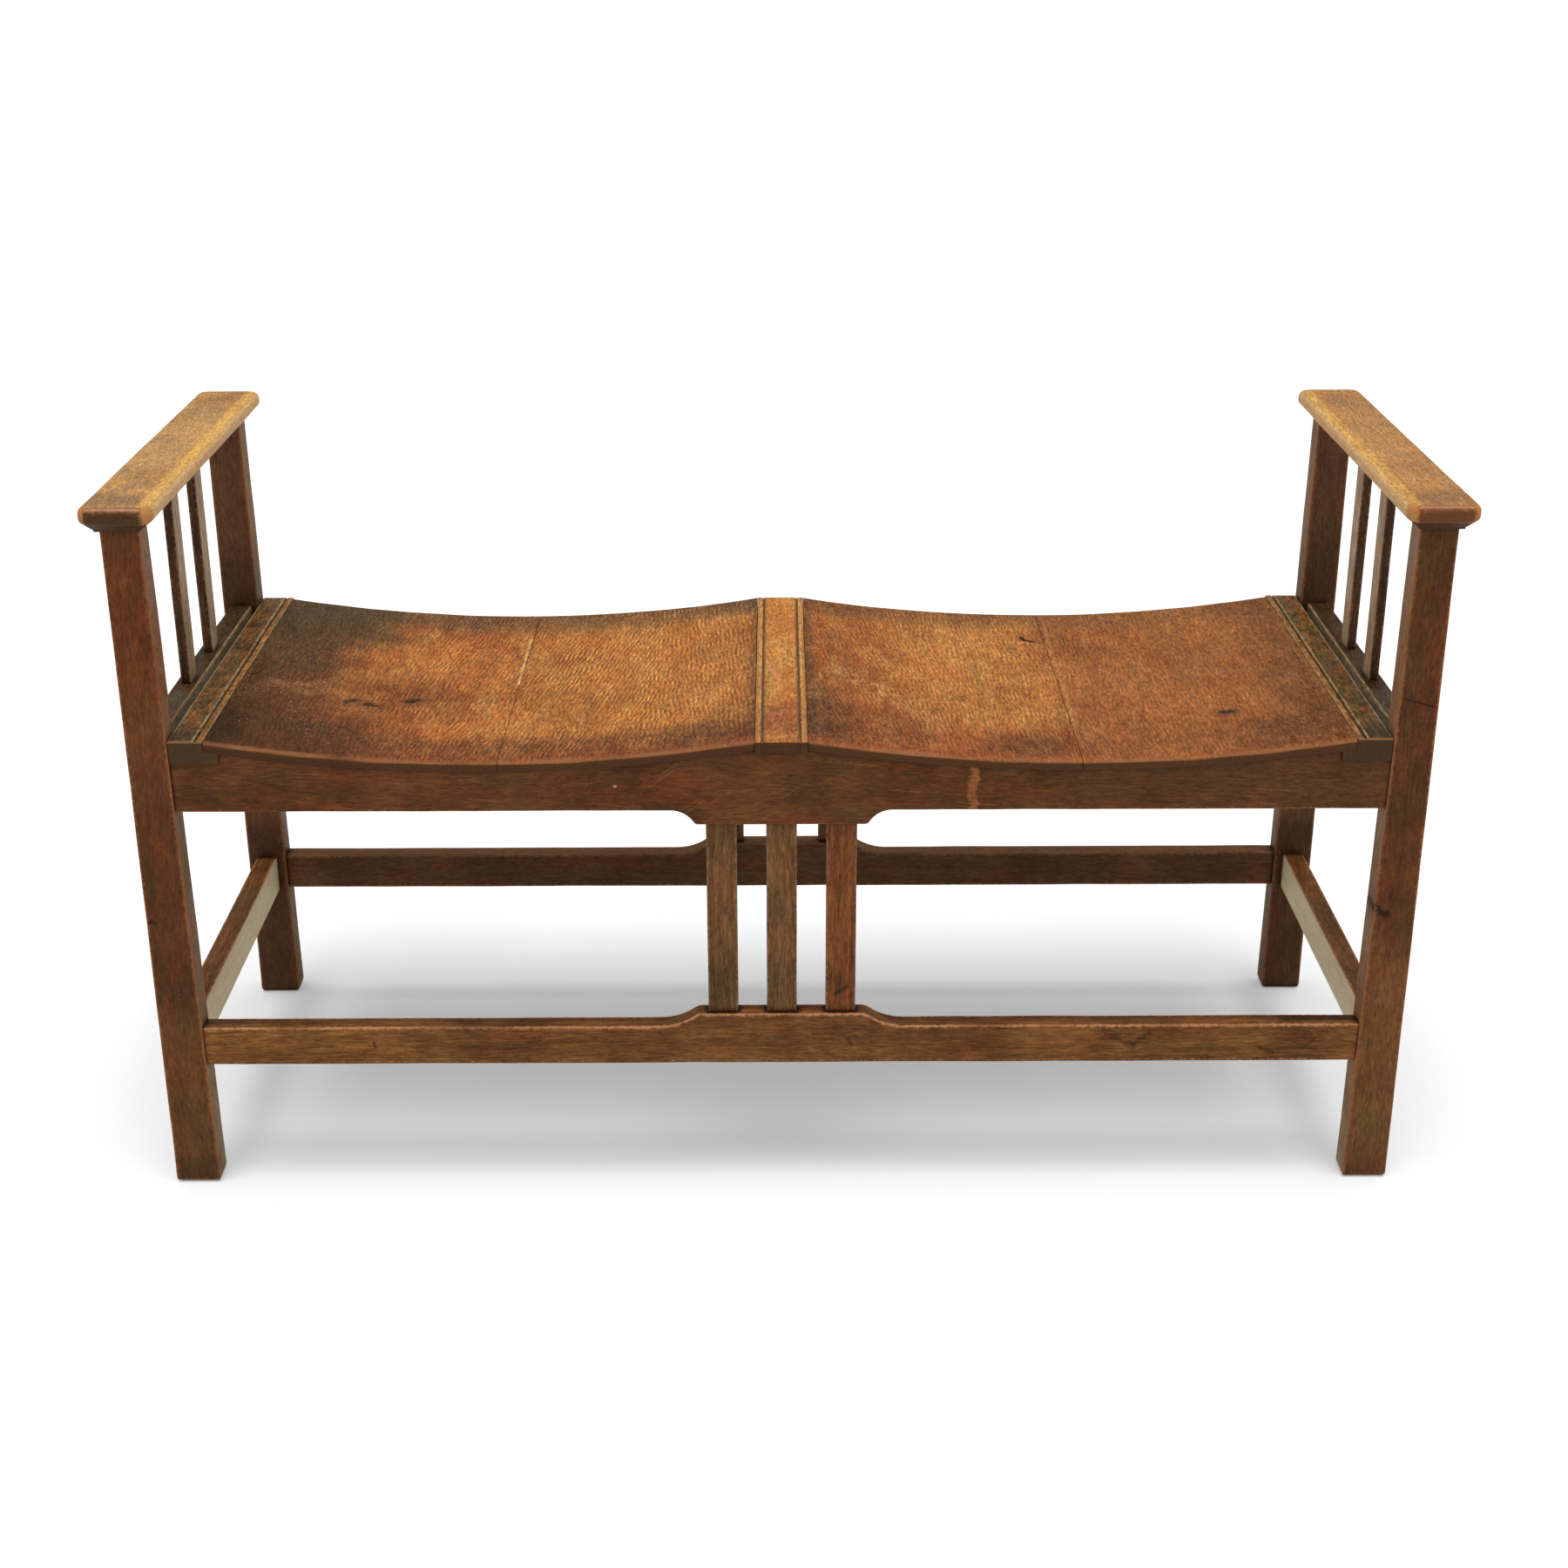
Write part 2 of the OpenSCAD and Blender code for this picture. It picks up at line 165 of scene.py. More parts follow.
def side_shares(length):
    """Shares along a side where its points lie: close beside its arrises and evenly between."""
    near = [d for d in NEAR_ARRIS if d < NEAR_SHARE * length]
    start = near[-1] if near else 0
    steps = max(1, round((length - 2 * start) / SPACING))
    between = [start + (length - 2 * start) * i / steps for i in range(1, steps)]
    return [d / length for d in near + between + [length - d for d in reversed(near)]]


def corner_arc(corner, before, after, radius, steps):
    """Points of the round at a corner, from the side before it to the side after it."""
    back = (before - corner).normalized()
    ahead = (after - corner).normalized()
    half_angle = back.angle(ahead) / 2
    tangent = radius / math.tan(half_angle)
    centre = corner + (back + ahead).normalized() * radius / math.sin(half_angle)
    start = corner + back * tangent - centre
    end = corner + ahead * tangent - centre
    turn = math.pi - 2 * half_angle
    points = []
    for i in range(steps + 1):
        angle = turn * i / steps
        points.append(centre + (start * math.sin(turn - angle) + end * math.sin(angle)) / math.sin(turn))
    return points


def inset_corners(corners, depth):
    """An outline's corners after each side has moved inwards by depth."""
    moved = []
    for i, corner in enumerate(corners):
        sides = (corner - corners[i - 1], corners[(i + 1) % len(corners)] - corner)
        inward = [Vector((-side.y, side.x)).normalized() for side in sides]
        moved.append(corner + (inward[0] + inward[1]) * depth / (1 + inward[0].dot(inward[1])))
    return moved


def worn_arcs(corners, radii, inset, along, seed):
    """The rounds at an outline's corners, each a little wider or tighter than its radius."""
    arcs = []
    for i, corner in enumerate(corners):
        wave = noise.noise(Vector((along / ARRIS_WAVE, CORNER_SHIFT * i, seed)))
        radius = max(radii[i] * (1 + ARRIS_CHANGE * wave) - inset, LEAST_R)
        steps = SMALL_ARC_STEPS if radii[i] < SMALL_R else ARC_STEPS
        after = corners[(i + 1) % len(corners)]
        arcs.append(corner_arc(corner, corners[i - 1], after, radius, steps))
    return arcs


def tube_faces(ring_count, point_count):
    """The faces of a closed tube through rings of the same number of points, its two caps first."""
    last_ring = (ring_count - 1) * point_count
    faces = [list(range(point_count)), list(range(last_ring, last_ring + point_count))]
    for start in range(0, last_ring, point_count):
        for i in range(point_count):
            j = (i + 1) % point_count
            faces.append([start + i, start + j, start + point_count + j, start + point_count + i])
    return faces


def loft(name, rings, outline_at, radii, place, worn_corners, smooth_cap=False):
    """A closed mesh through rings of points.

    rings are (place along the piece, inset, whether that ring is a worn arris). outline_at gives the
    corners of the outline there, anticlockwise, and radii their rounds. place gives the point in the
    bench's frame of a place along the piece and a point of the outline.
    """
    nominal = [Vector(corner) for corner in outline_at(rings[len(rings) // 2][0])]
    sides = [nominal[(i + 1) % len(nominal)] - corner for i, corner in enumerate(nominal)]
    shares = [side_shares(side.length) for side in sides]
    points, arris_points = [], []
    for along, inset, worn_ring in rings:
        corners = inset_corners([Vector(corner) for corner in outline_at(along)], inset)
        arcs = worn_arcs(corners, radii, inset, along, len(name))
        for i, arc in enumerate(arcs):
            arc_points = [place(along, *point) for point in arc]
            side_end = arcs[(i + 1) % len(arcs)][0]
            points += arc_points
            points += [place(along, *arc[-1].lerp(side_end, share)) for share in shares[i]]
            if worn_ring:
                arris_points += arc_points
            elif i in worn_corners:
                arris_points.append(arc_points[len(arc_points) // 2])
    mesh = bpy.data.meshes.new(name)
    mesh.from_pydata(points, [], tube_faces(len(rings), len(points) // len(rings)))
    mesh.polygons.foreach_set("use_smooth", [True] * len(mesh.polygons))
    for cap in mesh.polygons[:2]:
        cap.use_smooth = smooth_cap
    turn_outwards(mesh)
    mark_arris(mesh, arris_points)
    return mesh


def turn_outwards(mesh):
    """Turns all faces of a closed mesh to face outwards."""
    edit = bmesh.new()
    edit.from_mesh(mesh)
    bmesh.ops.recalc_face_normals(edit, faces=edit.faces)
    edit.to_mesh(mesh)
    edit.free()


def mark_arris(mesh, arris_points):
    """Stores each point's distance from the nearest worn arris, for the materials."""
    tree = kdtree.KDTree(len(arris_points))
    for i, point in enumerate(arris_points):
        tree.insert(point, i)
    tree.balance()
    layer = mesh.attributes.new("arris", "FLOAT", "POINT")
    for vertex, stored in zip(mesh.vertices, layer.data):
        distance = tree.find(vertex.co)[2] if arris_points else FAR_FROM_ARRIS
        stored.value = min(distance, FAR_FROM_ARRIS)


def roughen(mesh, node):
    """Makes hand-planed wood a little uneven, alike in each run, within the box of its CAD node."""
    low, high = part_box(node)
    for vertex in mesh.vertices:
        wave = noise.noise_vector(vertex.co / UNEVEN_WAVE)
        moved = vertex.co + wave * UNEVEN
        vertex.co = Vector(min(max(value, a), b) for value, a, b in zip(moved, low, high))


def rings_along(start, end, worn_ends=False, extra=(), start_r=END_R):
    """Rings of a bar from start to end, with small rounds at its ends."""
    length = end - start
    places = [start + length * share for share in side_shares(length)]
    places = [place for place in places if all(abs(place - other) > LEAST_SPACING for other in extra)]
    places += extra
    first, last = [], []
    for i in range(SMALL_ARC_STEPS + 1):
        angle = math.radians(90 * i / SMALL_ARC_STEPS)
        offset, inset = 1 - math.cos(angle), 1 - math.sin(angle)
        first.append((start + start_r * offset, start_r * inset, worn_ends))
        last.append((end - END_R * offset, END_R * inset, worn_ends))
    inner = [(place, 0.0, False) for place in sorted(places) if start + start_r < place < end - END_R]
    return first + inner + last[::-1]


def box_outline(low, high):
    """The corners of a rectangle between two corners."""
    return [low, (high[0], low[1]), high, (low[0], high[1])]


def add_piece(mesh, node, material, ending="_wood"):
    """Shows a mesh in place of a CAD node, on the bench's only body."""
    roughen(mesh, node)
    mesh.materials.append(material)
    piece = bpy.data.objects.new(node + ending, mesh)
    bpy.context.scene.collection.objects.link(piece)
    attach(piece, "root")
    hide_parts(node)


SIDES = ((-1, "left"), (1, "right"))
FACES = ((-1, "front"), (1, "rear"))
ALL_CORNERS = (0, 1, 2, 3)


def build_post(side, face):
    """A tapering post; side is -1 on the left and face is -1 at the front."""
    def outline_at(height):
        return box_outline((post_inner_x(height), foot_low.y), (foot_high.x, foot_high.y))

    def place(height, x, y):
        return Vector((side * x, face * y, height))

    rings = rings_along(0.0, arm_low.z, worn_ends=True, start_r=FOOT_R)
    return loft("post", rings, outline_at, [ARRIS_R] * 4, place, ALL_CORNERS)


def bar_place(face):
    """Where a point of a bar between two posts goes; its ends follow the posts' slant."""
    def place(x, y, height):
        slant = post_inner_x(height) / post_inner_x(seat_rail_low.z)
        return Vector((x * slant, face * y, height))
    return place


def curve_places(flat_x, run, spacing, past):
    """Places of the rings over a mound's two curved ends, and a few past them."""
    count = round(run / spacing)
    return [side * (flat_x + spacing * i) for side in (-1, 1) for i in range(-past, count + past + 1)]


def build_long_rail(face):
    """A rail under the seat, with its dropped middle and its upper edge cut for the seat."""
    drop_h = seat_rail_low.z - rail_low.z

    def top(x):
        if abs(x) < stile_half_w:
            return seat_h - STILE_T
        if abs(x) > bearer_low.x:
            return bearer_low.z
        return dish_height(x, BOARD_T)

    def outline_at(x):
        low_z = seat_rail_low.z - swell(x, drop_flat_x, DROP_RUN, drop_h)
        return box_outline((rail_low.y, low_z), (rail_high.y, top(x)))

    end = post_inner_x(seat_rail_low.z) - JOINT_GAP
    cuts = [x + step for x in (stile_half_w, bearer_low.x) for step in (-CUT_STEP, CUT_STEP)]
    cuts += [-x for x in cuts]
    rings = rings_along(-end, end, extra=curve_places(drop_flat_x, DROP_RUN, FINE_SPACING, 2) + cuts)
    radii = [ARRIS_R, ARRIS_R, SOFT_ARRIS_R, SOFT_ARRIS_R]
    return loft("rail", rings, outline_at, radii, bar_place(face), (0, 1))


def build_long_stretcher(face):
    """A stretcher between two posts, with its raised middle."""
    rise_h = bar_high.z - end_bar_high.z

    def outline_at(x):
        high_z = end_bar_high.z + swell(x, rise_flat_x, RISE_RUN, rise_h)
        return box_outline((bar_low.y, bar_low.z), (bar_high.y, high_z))

    end = post_inner_x(seat_rail_low.z) - JOINT_GAP
    rings = rings_along(-end, end, extra=curve_places(rise_flat_x, RISE_RUN, 2 * FINE_SPACING, 1))
    return loft("stretcher", rings, outline_at, [ARRIS_R] * 4, bar_place(face), ALL_CORNERS)


def place_at_end(side):
    """Where a point of a piece that runs from front to rear goes, at one end of the bench."""
    def place(y, x, z):
        return Vector((side * x, y, z))
    return place


def build_end_bar(side, low, high):
    """A seat rail or end stretcher, straight from the front post to the rear one."""
    end_y = post_front_y - JOINT_GAP
    corners = box_outline((low.x, low.z), (high.x, high.z))
    rings = rings_along(-end_y, end_y)
    return loft("end bar", rings, lambda y: corners, [ARRIS_R] * 4, place_at_end(side), ALL_CORNERS)


def build_slat(node):
    """An upright slat between its two housings."""
    low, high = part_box(node)
    corners = box_outline((low.x, low.y), (high.x, high.y))

    def place(z, x, y):
        return Vector((x, y, z))

    rings = rings_along(low.z + SLAT_HOUSING / 2, high.z - SLAT_HOUSING / 2)
    return loft(node, rings, lambda z: corners, [SOFT_ARRIS_R] * 4, place, ALL_CORNERS)


def arm_profile():
    """Height and inset of each ring of an arm, from its underside up over its nose to its top."""
    fillet = [
        (0.0, ARM_UNDERCUT + ARM_UNDERSIDE_IN),
        (0.0, ARM_UNDERCUT + FILLET_BEND),
        (FILLET_BEND, ARM_UNDERCUT),
        (ARM_FILLET_H - FILLET_BEND, ARM_UNDERCUT),
        (ARM_FILLET_H, ARM_UNDERCUT - INNER_R),
    ]
    thickness = arm_high.z - arm_low.z
    nose_z = thickness - ARM_NOSE_H
    slope = math.atan2(nose_z - ARM_FILLET_H, ARM_UNDERCUT - ARM_LOW_R)
    low_arc = [
        (nose_z + ARM_LOW_R * (1 - math.cos(angle)), ARM_LOW_R * (1 - math.sin(angle)))
        for angle in (slope + (math.pi / 2 - slope) * i / LOW_ARC_STEPS for i in range(LOW_ARC_STEPS + 1))
    ]
    top_arc = [
        (thickness - ARM_TOP_R * (1 - math.sin(angle)), ARM_TOP_R * (1 - math.cos(angle)))
        for angle in (math.pi / 2 * i / TOP_ARC_STEPS for i in range(TOP_ARC_STEPS + 1))
    ]
    top = [(thickness, ARM_TOP_R + d) for d in NEAR_ARRIS + (2 * NEAR_ARRIS[-1],)]
    return fillet + low_arc + top_arc + top


def build_arm(side):
    """A moulded arm, its profile carried round its four turned corners."""
    centre_x = (arm_low.x + arm_high.x) / 2
    half_w = (arm_high.x - arm_low.x) / 2
    corners = box_outline((-half_w, arm_low.y), (half_w, arm_high.y))

    def place(z, x, y):
        return Vector((side * (centre_x + x), y, arm_low.z + z))

    top_arris = arm_high.z - arm_low.z - ARM_ARRIS_SHARE * ARM_TOP_R
    rings = [(z, inset, abs(z - top_arris) < ARM_ARRIS_HALF_W) for z, inset in arm_profile()]
    return loft("arm", rings, lambda z: corners, [ARM_CORNER_R] * 4, place, (), smooth_cap=True)


def build_board(side, node):
    """A bent seat board between its two ends, with a round nosing at the front and the rear."""
    low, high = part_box(node)
    start, end = sorted((abs(low.x), abs(high.x)))

    def outline_at(x):
        return box_outline((-seat_half_d, dish_height(x, BOARD_T)), (seat_half_d, dish_height(x)))

    def place(x, y, z):
        to_edge = min((seat_half_d - abs(y)) / BOARD_EDGE_FALL_W, 1)
        share = max(0, 1 - (dish_height(x) - z) / BOARD_T)
        return Vector((side * x, y, z - BOARD_EDGE_FALL * share * (1 - to_edge) ** 2))

    radii = [SOFT_ARRIS_R, SOFT_ARRIS_R, BOARD_NOSE_R, BOARD_NOSE_R]
    return loft("board", rings_along(start, end), outline_at, radii, place, (2, 3))


def scratch_corners(x):
    """The four corners of a groove scratched in the seat's face, taken from its right to its left."""
    half = SCRATCH_W / 2
    floor = seat_h - SCRATCH_DEPTH
    return [(x + half, seat_h), (x + half, floor), (x - half, floor), (x - half, seat_h)]


def build_bearer(side):
    """A seat bearer, with its lip under the board and its scratched line."""
    corners = [
        (bearer_low.x, bearer_low.z),
        (bearer_high.x, bearer_low.z),
        (bearer_high.x, seat_h),
        *scratch_corners(panel_end_x + SCRATCH_INSET),
        (panel_end_x, seat_h),
        (panel_end_x, dish_height(panel_end_x, BOARD_T)),
        (bearer_low.x, dish_height(bearer_low.x, BOARD_T)),
    ]
    radii = [SOFT_ARRIS_R] * 3 + [SCRATCH_R] * 4 + [SOFT_ARRIS_R, INNER_R, SOFT_ARRIS_R]
    rings = rings_along(-seat_half_d, seat_half_d)
    return loft("bearer", rings, lambda y: corners, radii, place_at_end(side), (2, 7))


def build_stile():
    """The flat stile between the two panels, with its nosing and two scratched lines."""
    half = stile_half_w
    groove_x = half - SCRATCH_INSET
    corners = [
        (-half, seat_h - STILE_T),
        (half, seat_h - STILE_T),
        (half, seat_h),
        *scratch_corners(groove_x),
        *scratch_corners(-groove_x),
        (-half, seat_h),
    ]
    radii = [SOFT_ARRIS_R] * 3 + [SCRATCH_R] * 8 + [SOFT_ARRIS_R]

    def place(y, x, z):
        to_end = min(seat_half_d - abs(y), BOARD_NOSE_R)
        fall = BOARD_NOSE_R - math.sqrt(BOARD_NOSE_R ** 2 - (BOARD_NOSE_R - to_end) ** 2)
        share = max(0, (z - seat_h + BOARD_NOSE_R) / BOARD_NOSE_R)
        return Vector((x, y, z - fall * share))

    nosing = [seat_half_d - BOARD_NOSE_R * (1 - math.sin(math.radians(angle))) for angle in NOSE_ANGLES]
    rings = rings_along(-seat_half_d, seat_half_d, extra=[-y for y in nosing] + nosing)
    return loft("stile", rings, lambda y: corners, radii, place, (2, 11))


def build_stile_lips():
    """The lower part of the stile between the rails, with the lips that carry the boards."""
    outer, inner = stile_high.x, stile_half_w
    body_low_z = seat_h - STILE_T
    outer_z = dish_height(outer, BOARD_T)
    inner_z = dish_height(inner, BOARD_T)
    corners = [
        (-outer, stile_low.z),
        (outer, stile_low.z),
        (outer, outer_z),
        (inner, inner_z),
        (inner, body_low_z),
        (-inner, body_low_z),
        (-inner, inner_z),
        (-outer, outer_z),
    ]
    end_y = rail_low.y - SEAT_GAP
    radii = [SOFT_ARRIS_R] * 3 + [INNER_R] * 4 + [SOFT_ARRIS_R]
    return loft("lips", rings_along(-end_y, end_y), lambda y: corners, radii, place_at_end(1), (0, 1))


def linear(colour):
    """A colour written as #rrggbb, as Blender's linear numbers, by the curve of sRGB."""
    parts = [int(colour[i:i + 2], 16) / 255 for i in (1, 3, 5)]
    return tuple(c / 12.92 if c <= 0.04045 else ((c + 0.055) / 1.055) ** 2.4 for c in parts) + (1.0,)


# Noise is sampled askew, as its pattern is weaker in planes square to its axes
SLANT = (0.5, 0.4, 0.3)
NOISE_MIDDLE = (0.5, 0.5, 0.5)
SEED_SHIFT = Vector((1.37, 2.11, 0.73))

# How much each part of a colour falls where the wood is shaded, and rises where it is lightened
DARKER = (1, 1.1, 1.2)
LIGHTER = (1, 1.15, 1.2)

# Patterns of noise, as scale, detail and roughness
SWAY_NOISE = (4.0, 1.0, 0.4)
SWELL_NOISE = (60.0, 3.0, 0.5)
SCRATCH_NOISE = (1.0, 1.0, 0.5)
RIPPLE_NOISE = (30.0, 2.0, 0.5)

# Patterns of noise used as masks, with the values between which the mask rises
PATCHES = ((75.0, 5.0, 0.7), (0.44, 0.56))
SPECKS = ((520.0, 2.0, 0.5), (0.64, 0.7))
SPECK_GROUPS = ((18.0, 2.0, 0.5), (0.42, 0.6))
CHIPS = ((260.0, 3.0, 0.65), (0.3, 0.7))
WEAR_PATCHES = ((14.0, 3.0, 0.6), (0.36, 0.6))
RIPPLE_PATCHES = ((70.0, 4.0, 0.7), (0.38, 0.62))

# Detail and roughness of patterns whose scale is worked out
CLOUD_FINENESS = (5.0, 0.68)
MOTTLE_FINENESS = (6.0, 0.72)
RING_FINENESS = (4.0, 0.65)
FLECK_FINENESS = (5.0, 0.75)
RAGGED_FINENESS = (3.0, 0.6)

# Patterns along the grain, as scale along it, scale across it, detail and roughness
STREAK_GRAIN = (34.0, 420.0, 3.0, 0.7)
PORE_GRAIN = (120.0, 1100.0, 2.0, 0.6)

# Values between which the other masks rise
CLOUD_RANGE = (0.36, 0.62)
RED_RANGE = (0.5, 0.66)
GREEN_RANGE = (0.5, 0.36)
RING_RANGE = (0.34, 0.66)
STREAK_RANGE = (0.32, 0.68)
FLECK_RANGE = (0.38, 0.62)
PORE_RANGE = (0.54, 0.64)
SCRATCH_RANGE = (0.66, 0.74)
OPEN_AIR_RANGE = (0.45, 0.9)
ROUGH_RANGE = (0.3, 0.9)
GRAZING_RANGE = (0.5, 0.76)

# Strengths and sizes of the patterns
RAGGED_SCALE = 0.35
RAGGED_PUSH = 4
MOTTLE_ALONG = 1.2
MOTTLE_ACROSS = 3.6
SCRATCHES_ALONG = 16.0
SCRATCHES_ACROSS = 420.0
RIPPLE_SWAY = 14.0
RIPPLE_PITCH = 4.5 * MM
CHIP_DEPTH = 1.2 * MM
WORN_CORE = 0.1
# Samples of the ambient occlusion that paints shade and grime into the inner corners
GRIME_AND_SHADE_SAMPLES = 8
PORE_ROUGHNESS = 0.3
STREAK_HEIGHT = 0.5
PORE_HEIGHT = -0.5
SWELL_HEIGHT = 1.2
BUMP_DEPTH = 0.5 * MM


class Recipe:
    """Builds the nodes of one material. Each method adds nodes and returns an output."""

    def __init__(self, name, seed):
        self.material = bpy.data.materials.new(name)
        self.material.use_nodes = True
        self.tree = self.material.node_tree
        self.shader = self.tree.nodes["Principled BSDF"]
        self.here = self.add("ShaderNodeTexCoord", {}).outputs["Object"]
        self.shift = SEED_SHIFT * seed
        turned = {0: self.here, "Rotation": SLANT}
        slanted = self.add("ShaderNodeVectorRotate", turned, rotation_type="EULER_XYZ")
        self.shifted = self.vector("ADD", slanted.outputs[0], self.shift)

    def add(self, kind, inputs, **settings):
        """A node with its settings and its inputs, each a value or another node's output."""
        node = self.tree.nodes.new(kind)
        for key, value in settings.items():
            setattr(node, key, value)
        for key, value in inputs.items():
            if isinstance(value, bpy.types.NodeSocket):
                self.tree.links.new(value, node.inputs[key])
            else:
                node.inputs[key].default_value = value
        return node

    def math(self, operation, a, b=0.0):
        return self.add("ShaderNodeMath", {0: a, 1: b}, operation=operation).outputs[0]

    def vector(self, operation, a, b=(0.0, 0.0, 0.0)):
        node = self.add("ShaderNodeVectorMath", {0: a, 1: b}, operation=operation)
        return node.outputs["Value" if operation in ("LENGTH", "DOT_PRODUCT") else "Vector"]

    def scaled(self, place, scales):
        return self.vector("MULTIPLY", place, scales)

    def noise(self, place, scale, detail, roughness, colour=False):
        inputs = {"Vector": place, "Scale": scale, "Detail": detail, "Roughness": roughness}
        return self.add("ShaderNodeTexNoise", inputs).outputs[1 if colour else 0]

    def step(self, value, low, high, to_low=0.0, to_high=1.0):
        """A smooth change from to_low to to_high as a value goes from low to high."""
        inputs = {0: value, 1: low, 2: high, 3: to_low, 4: to_high}
        return self.add("ShaderNodeMapRange", inputs, interpolation_type="SMOOTHSTEP").outputs[0]

    def mask(self, pattern, values, to_low=0.0, to_high=1.0):
        """A pattern of noise as a smooth change from to_low to to_high."""
        return self.step(self.noise(self.shifted, *pattern), *values, to_low, to_high)

    def mix(self, share, a, b):
        return self.add("ShaderNodeMix", {0: share, 6: a, 7: b}, data_type="RGBA").outputs[2]

    def tint(self, share, base, colour, strength=1.0):
        """base with a colour laid over it, by a share between 0 and 1."""
        amount = self.math("MULTIPLY", share, strength) if strength != 1.0 else share
        return self.mix(amount, base, linear(colour))

    def shade(self, share, base, depth):
        """base made darker where share is 0, and lighter and yellower where it is 1."""
        dark = (*[1 - part * depth for part in DARKER], 1)
        light = (*[1 + part * depth for part in LIGHTER], 1)
        return self.vector("MULTIPLY", base, self.mix(share, dark, light))

    def ragged(self, depth):
        """Places pushed about by up to about depth, for ragged outlines."""
        if not depth:
            return self.here
        waves = self.noise(self.here, RAGGED_SCALE / depth, *RAGGED_FINENESS, colour=True)
        push = self.vector("SUBTRACT", waves, NOISE_MIDDLE)
        return self.vector("ADD", self.here, self.scaled(push, (RAGGED_PUSH * depth,) * 3))

    def broken(self, share, depth):
        """A mask cut up into patches, with 1 - depth of it left between them."""
        if not depth:
            return share
        return self.math("MULTIPLY", share, self.mask(*PATCHES, 1 - depth, 1.0))

    def spot(self, centre, half, soft, ragged=0.0):
        """A mask that is 1 in a box in the bench's frame and fades to 0 over soft."""
        offset = self.vector("ABSOLUTE", self.vector("SUBTRACT", self.ragged(ragged), centre))
        outside = self.vector("MAXIMUM", self.vector("SUBTRACT", offset, half))
        return self.step(self.vector("LENGTH", outside), 0.0, soft, 1.0, 0.0)


SEAT_MARK_Z = 450
SEAT_PLANE = (1, 1, 0)
FRONT_PLANE = (1, 0, 1)
X_AXIS, Y_AXIS, Z_AXIS = range(3)


def stain(centre, half, soft, colour, strength=1.0, ragged=0.0, broken=0.0):
    """A mark, in millimetres, that lays a colour over the wood in a box and fades round it."""
    def lay(wood, base):
        share = wood.spot(Vector(centre) * MM, Vector(half) * MM, soft * MM, ragged * MM)
        return wood.tint(wood.broken(share, broken), base, colour, strength)
    return lay


def on_seat(x, y, half_x, half_y, *rest):
    """A stain on the seat, in a box from the floor to well above it."""
    return stain((x, y, SEAT_MARK_Z), (half_x, half_y, SEAT_MARK_Z), *rest)


def streak(plane, start, end, half_w, soft, colour, strength, ragged=0.0, broken=0.0):
    """A mark along a line between two places in a plane, in millimetres."""
    def lay(wood, base):
        begin = Vector(in_plane(plane, *start)) * MM
        way = Vector(in_plane(plane, *end)) * MM - begin
        offset = wood.scaled(wood.vector("SUBTRACT", wood.ragged(ragged * MM), begin), Vector(plane))
        along = wood.math("DIVIDE", wood.vector("DOT_PRODUCT", offset, way), way.length_squared)
        along = wood.math("MINIMUM", wood.math("MAXIMUM", along, 0.0), 1.0)
        nearest = wood.add("ShaderNodeVectorMath", {0: way, "Scale": along}, operation="SCALE").outputs[0]
        aside = wood.vector("LENGTH", wood.vector("SUBTRACT", offset, nearest))
        share = wood.step(aside, half_w * MM, (half_w + soft) * MM, 1.0, 0.0)
        return wood.tint(wood.broken(share, broken), base, colour, strength)
    return lay


def in_plane(plane, across, other):
    """The place of two coordinates in the seat's plane or in the front's."""
    return (across, other, 0) if plane == SEAT_PLANE else (across, 0, other)


def crack(start, end, half_w, soft, *rest):
    """A dark streak in the front."""
    return streak(FRONT_PLANE, start, end, half_w, soft, KNOT_BROWN, *rest)


def knot(plane, start, end):
    """A small dark knot with a soft brown ring, between two places in a plane."""
    return [
        streak(plane, start, end, 4, 14, "#6b4020", 0.55, 5),
        streak(plane, start, end, 1.4, 5, KNOT_BROWN, 0.9, 3),
    ]


def scratches(centre, half, soft, lean, colour, strength):
    """Fine scratches in an upright face, in a box in millimetres, leaning by an angle from level."""
    def lay(wood, base):
        turn = math.radians(lean)
        along = wood.vector("DOT_PRODUCT", wood.here, (math.cos(turn), 0.0, math.sin(turn)))
        across = wood.vector("DOT_PRODUCT", wood.here, (-math.sin(turn), 0.0, math.cos(turn)))
        stretched = {
            0: wood.math("MULTIPLY", along, SCRATCHES_ALONG),
            1: wood.math("MULTIPLY", across, SCRATCHES_ACROSS),
        }
        line = wood.add("ShaderNodeCombineXYZ", stretched).outputs[0]
        share = wood.step(wood.noise(line, *SCRATCH_NOISE), *SCRATCH_RANGE)
        share = wood.math("MULTIPLY", share, wood.spot(Vector(centre) * MM, Vector(half) * MM, soft * MM))
        return wood.tint(share, base, colour, strength)
    return lay


def ripple(x, y, half_x, half_y, soft, lean, depth):
    """Fine ripple lines across a seat board, leaning by an angle from front-to-back."""
    def lay(wood, base):
        turn = math.radians(lean)
        pitch = 2 * math.pi / RIPPLE_PITCH
        phase = wood.vector("DOT_PRODUCT", wood.here, (math.cos(turn) * pitch, math.sin(turn) * pitch, 0.0))
        sway = wood.math("MULTIPLY", wood.noise(wood.here, *RIPPLE_NOISE), RIPPLE_SWAY)
        waves = wood.math("SINE", wood.math("ADD", phase, sway))
        waves = wood.math("MULTIPLY", waves, wood.mask(*RIPPLE_PATCHES))
        centre, half = Vector((x, y, SEAT_MARK_Z)), Vector((half_x, half_y, SEAT_MARK_Z))
        waves = wood.math("MULTIPLY", waves, wood.spot(centre * MM, half * MM, soft * MM))
        return wood.shade(wood.step(waves, -1.0, 1.0), base, depth)
    return lay


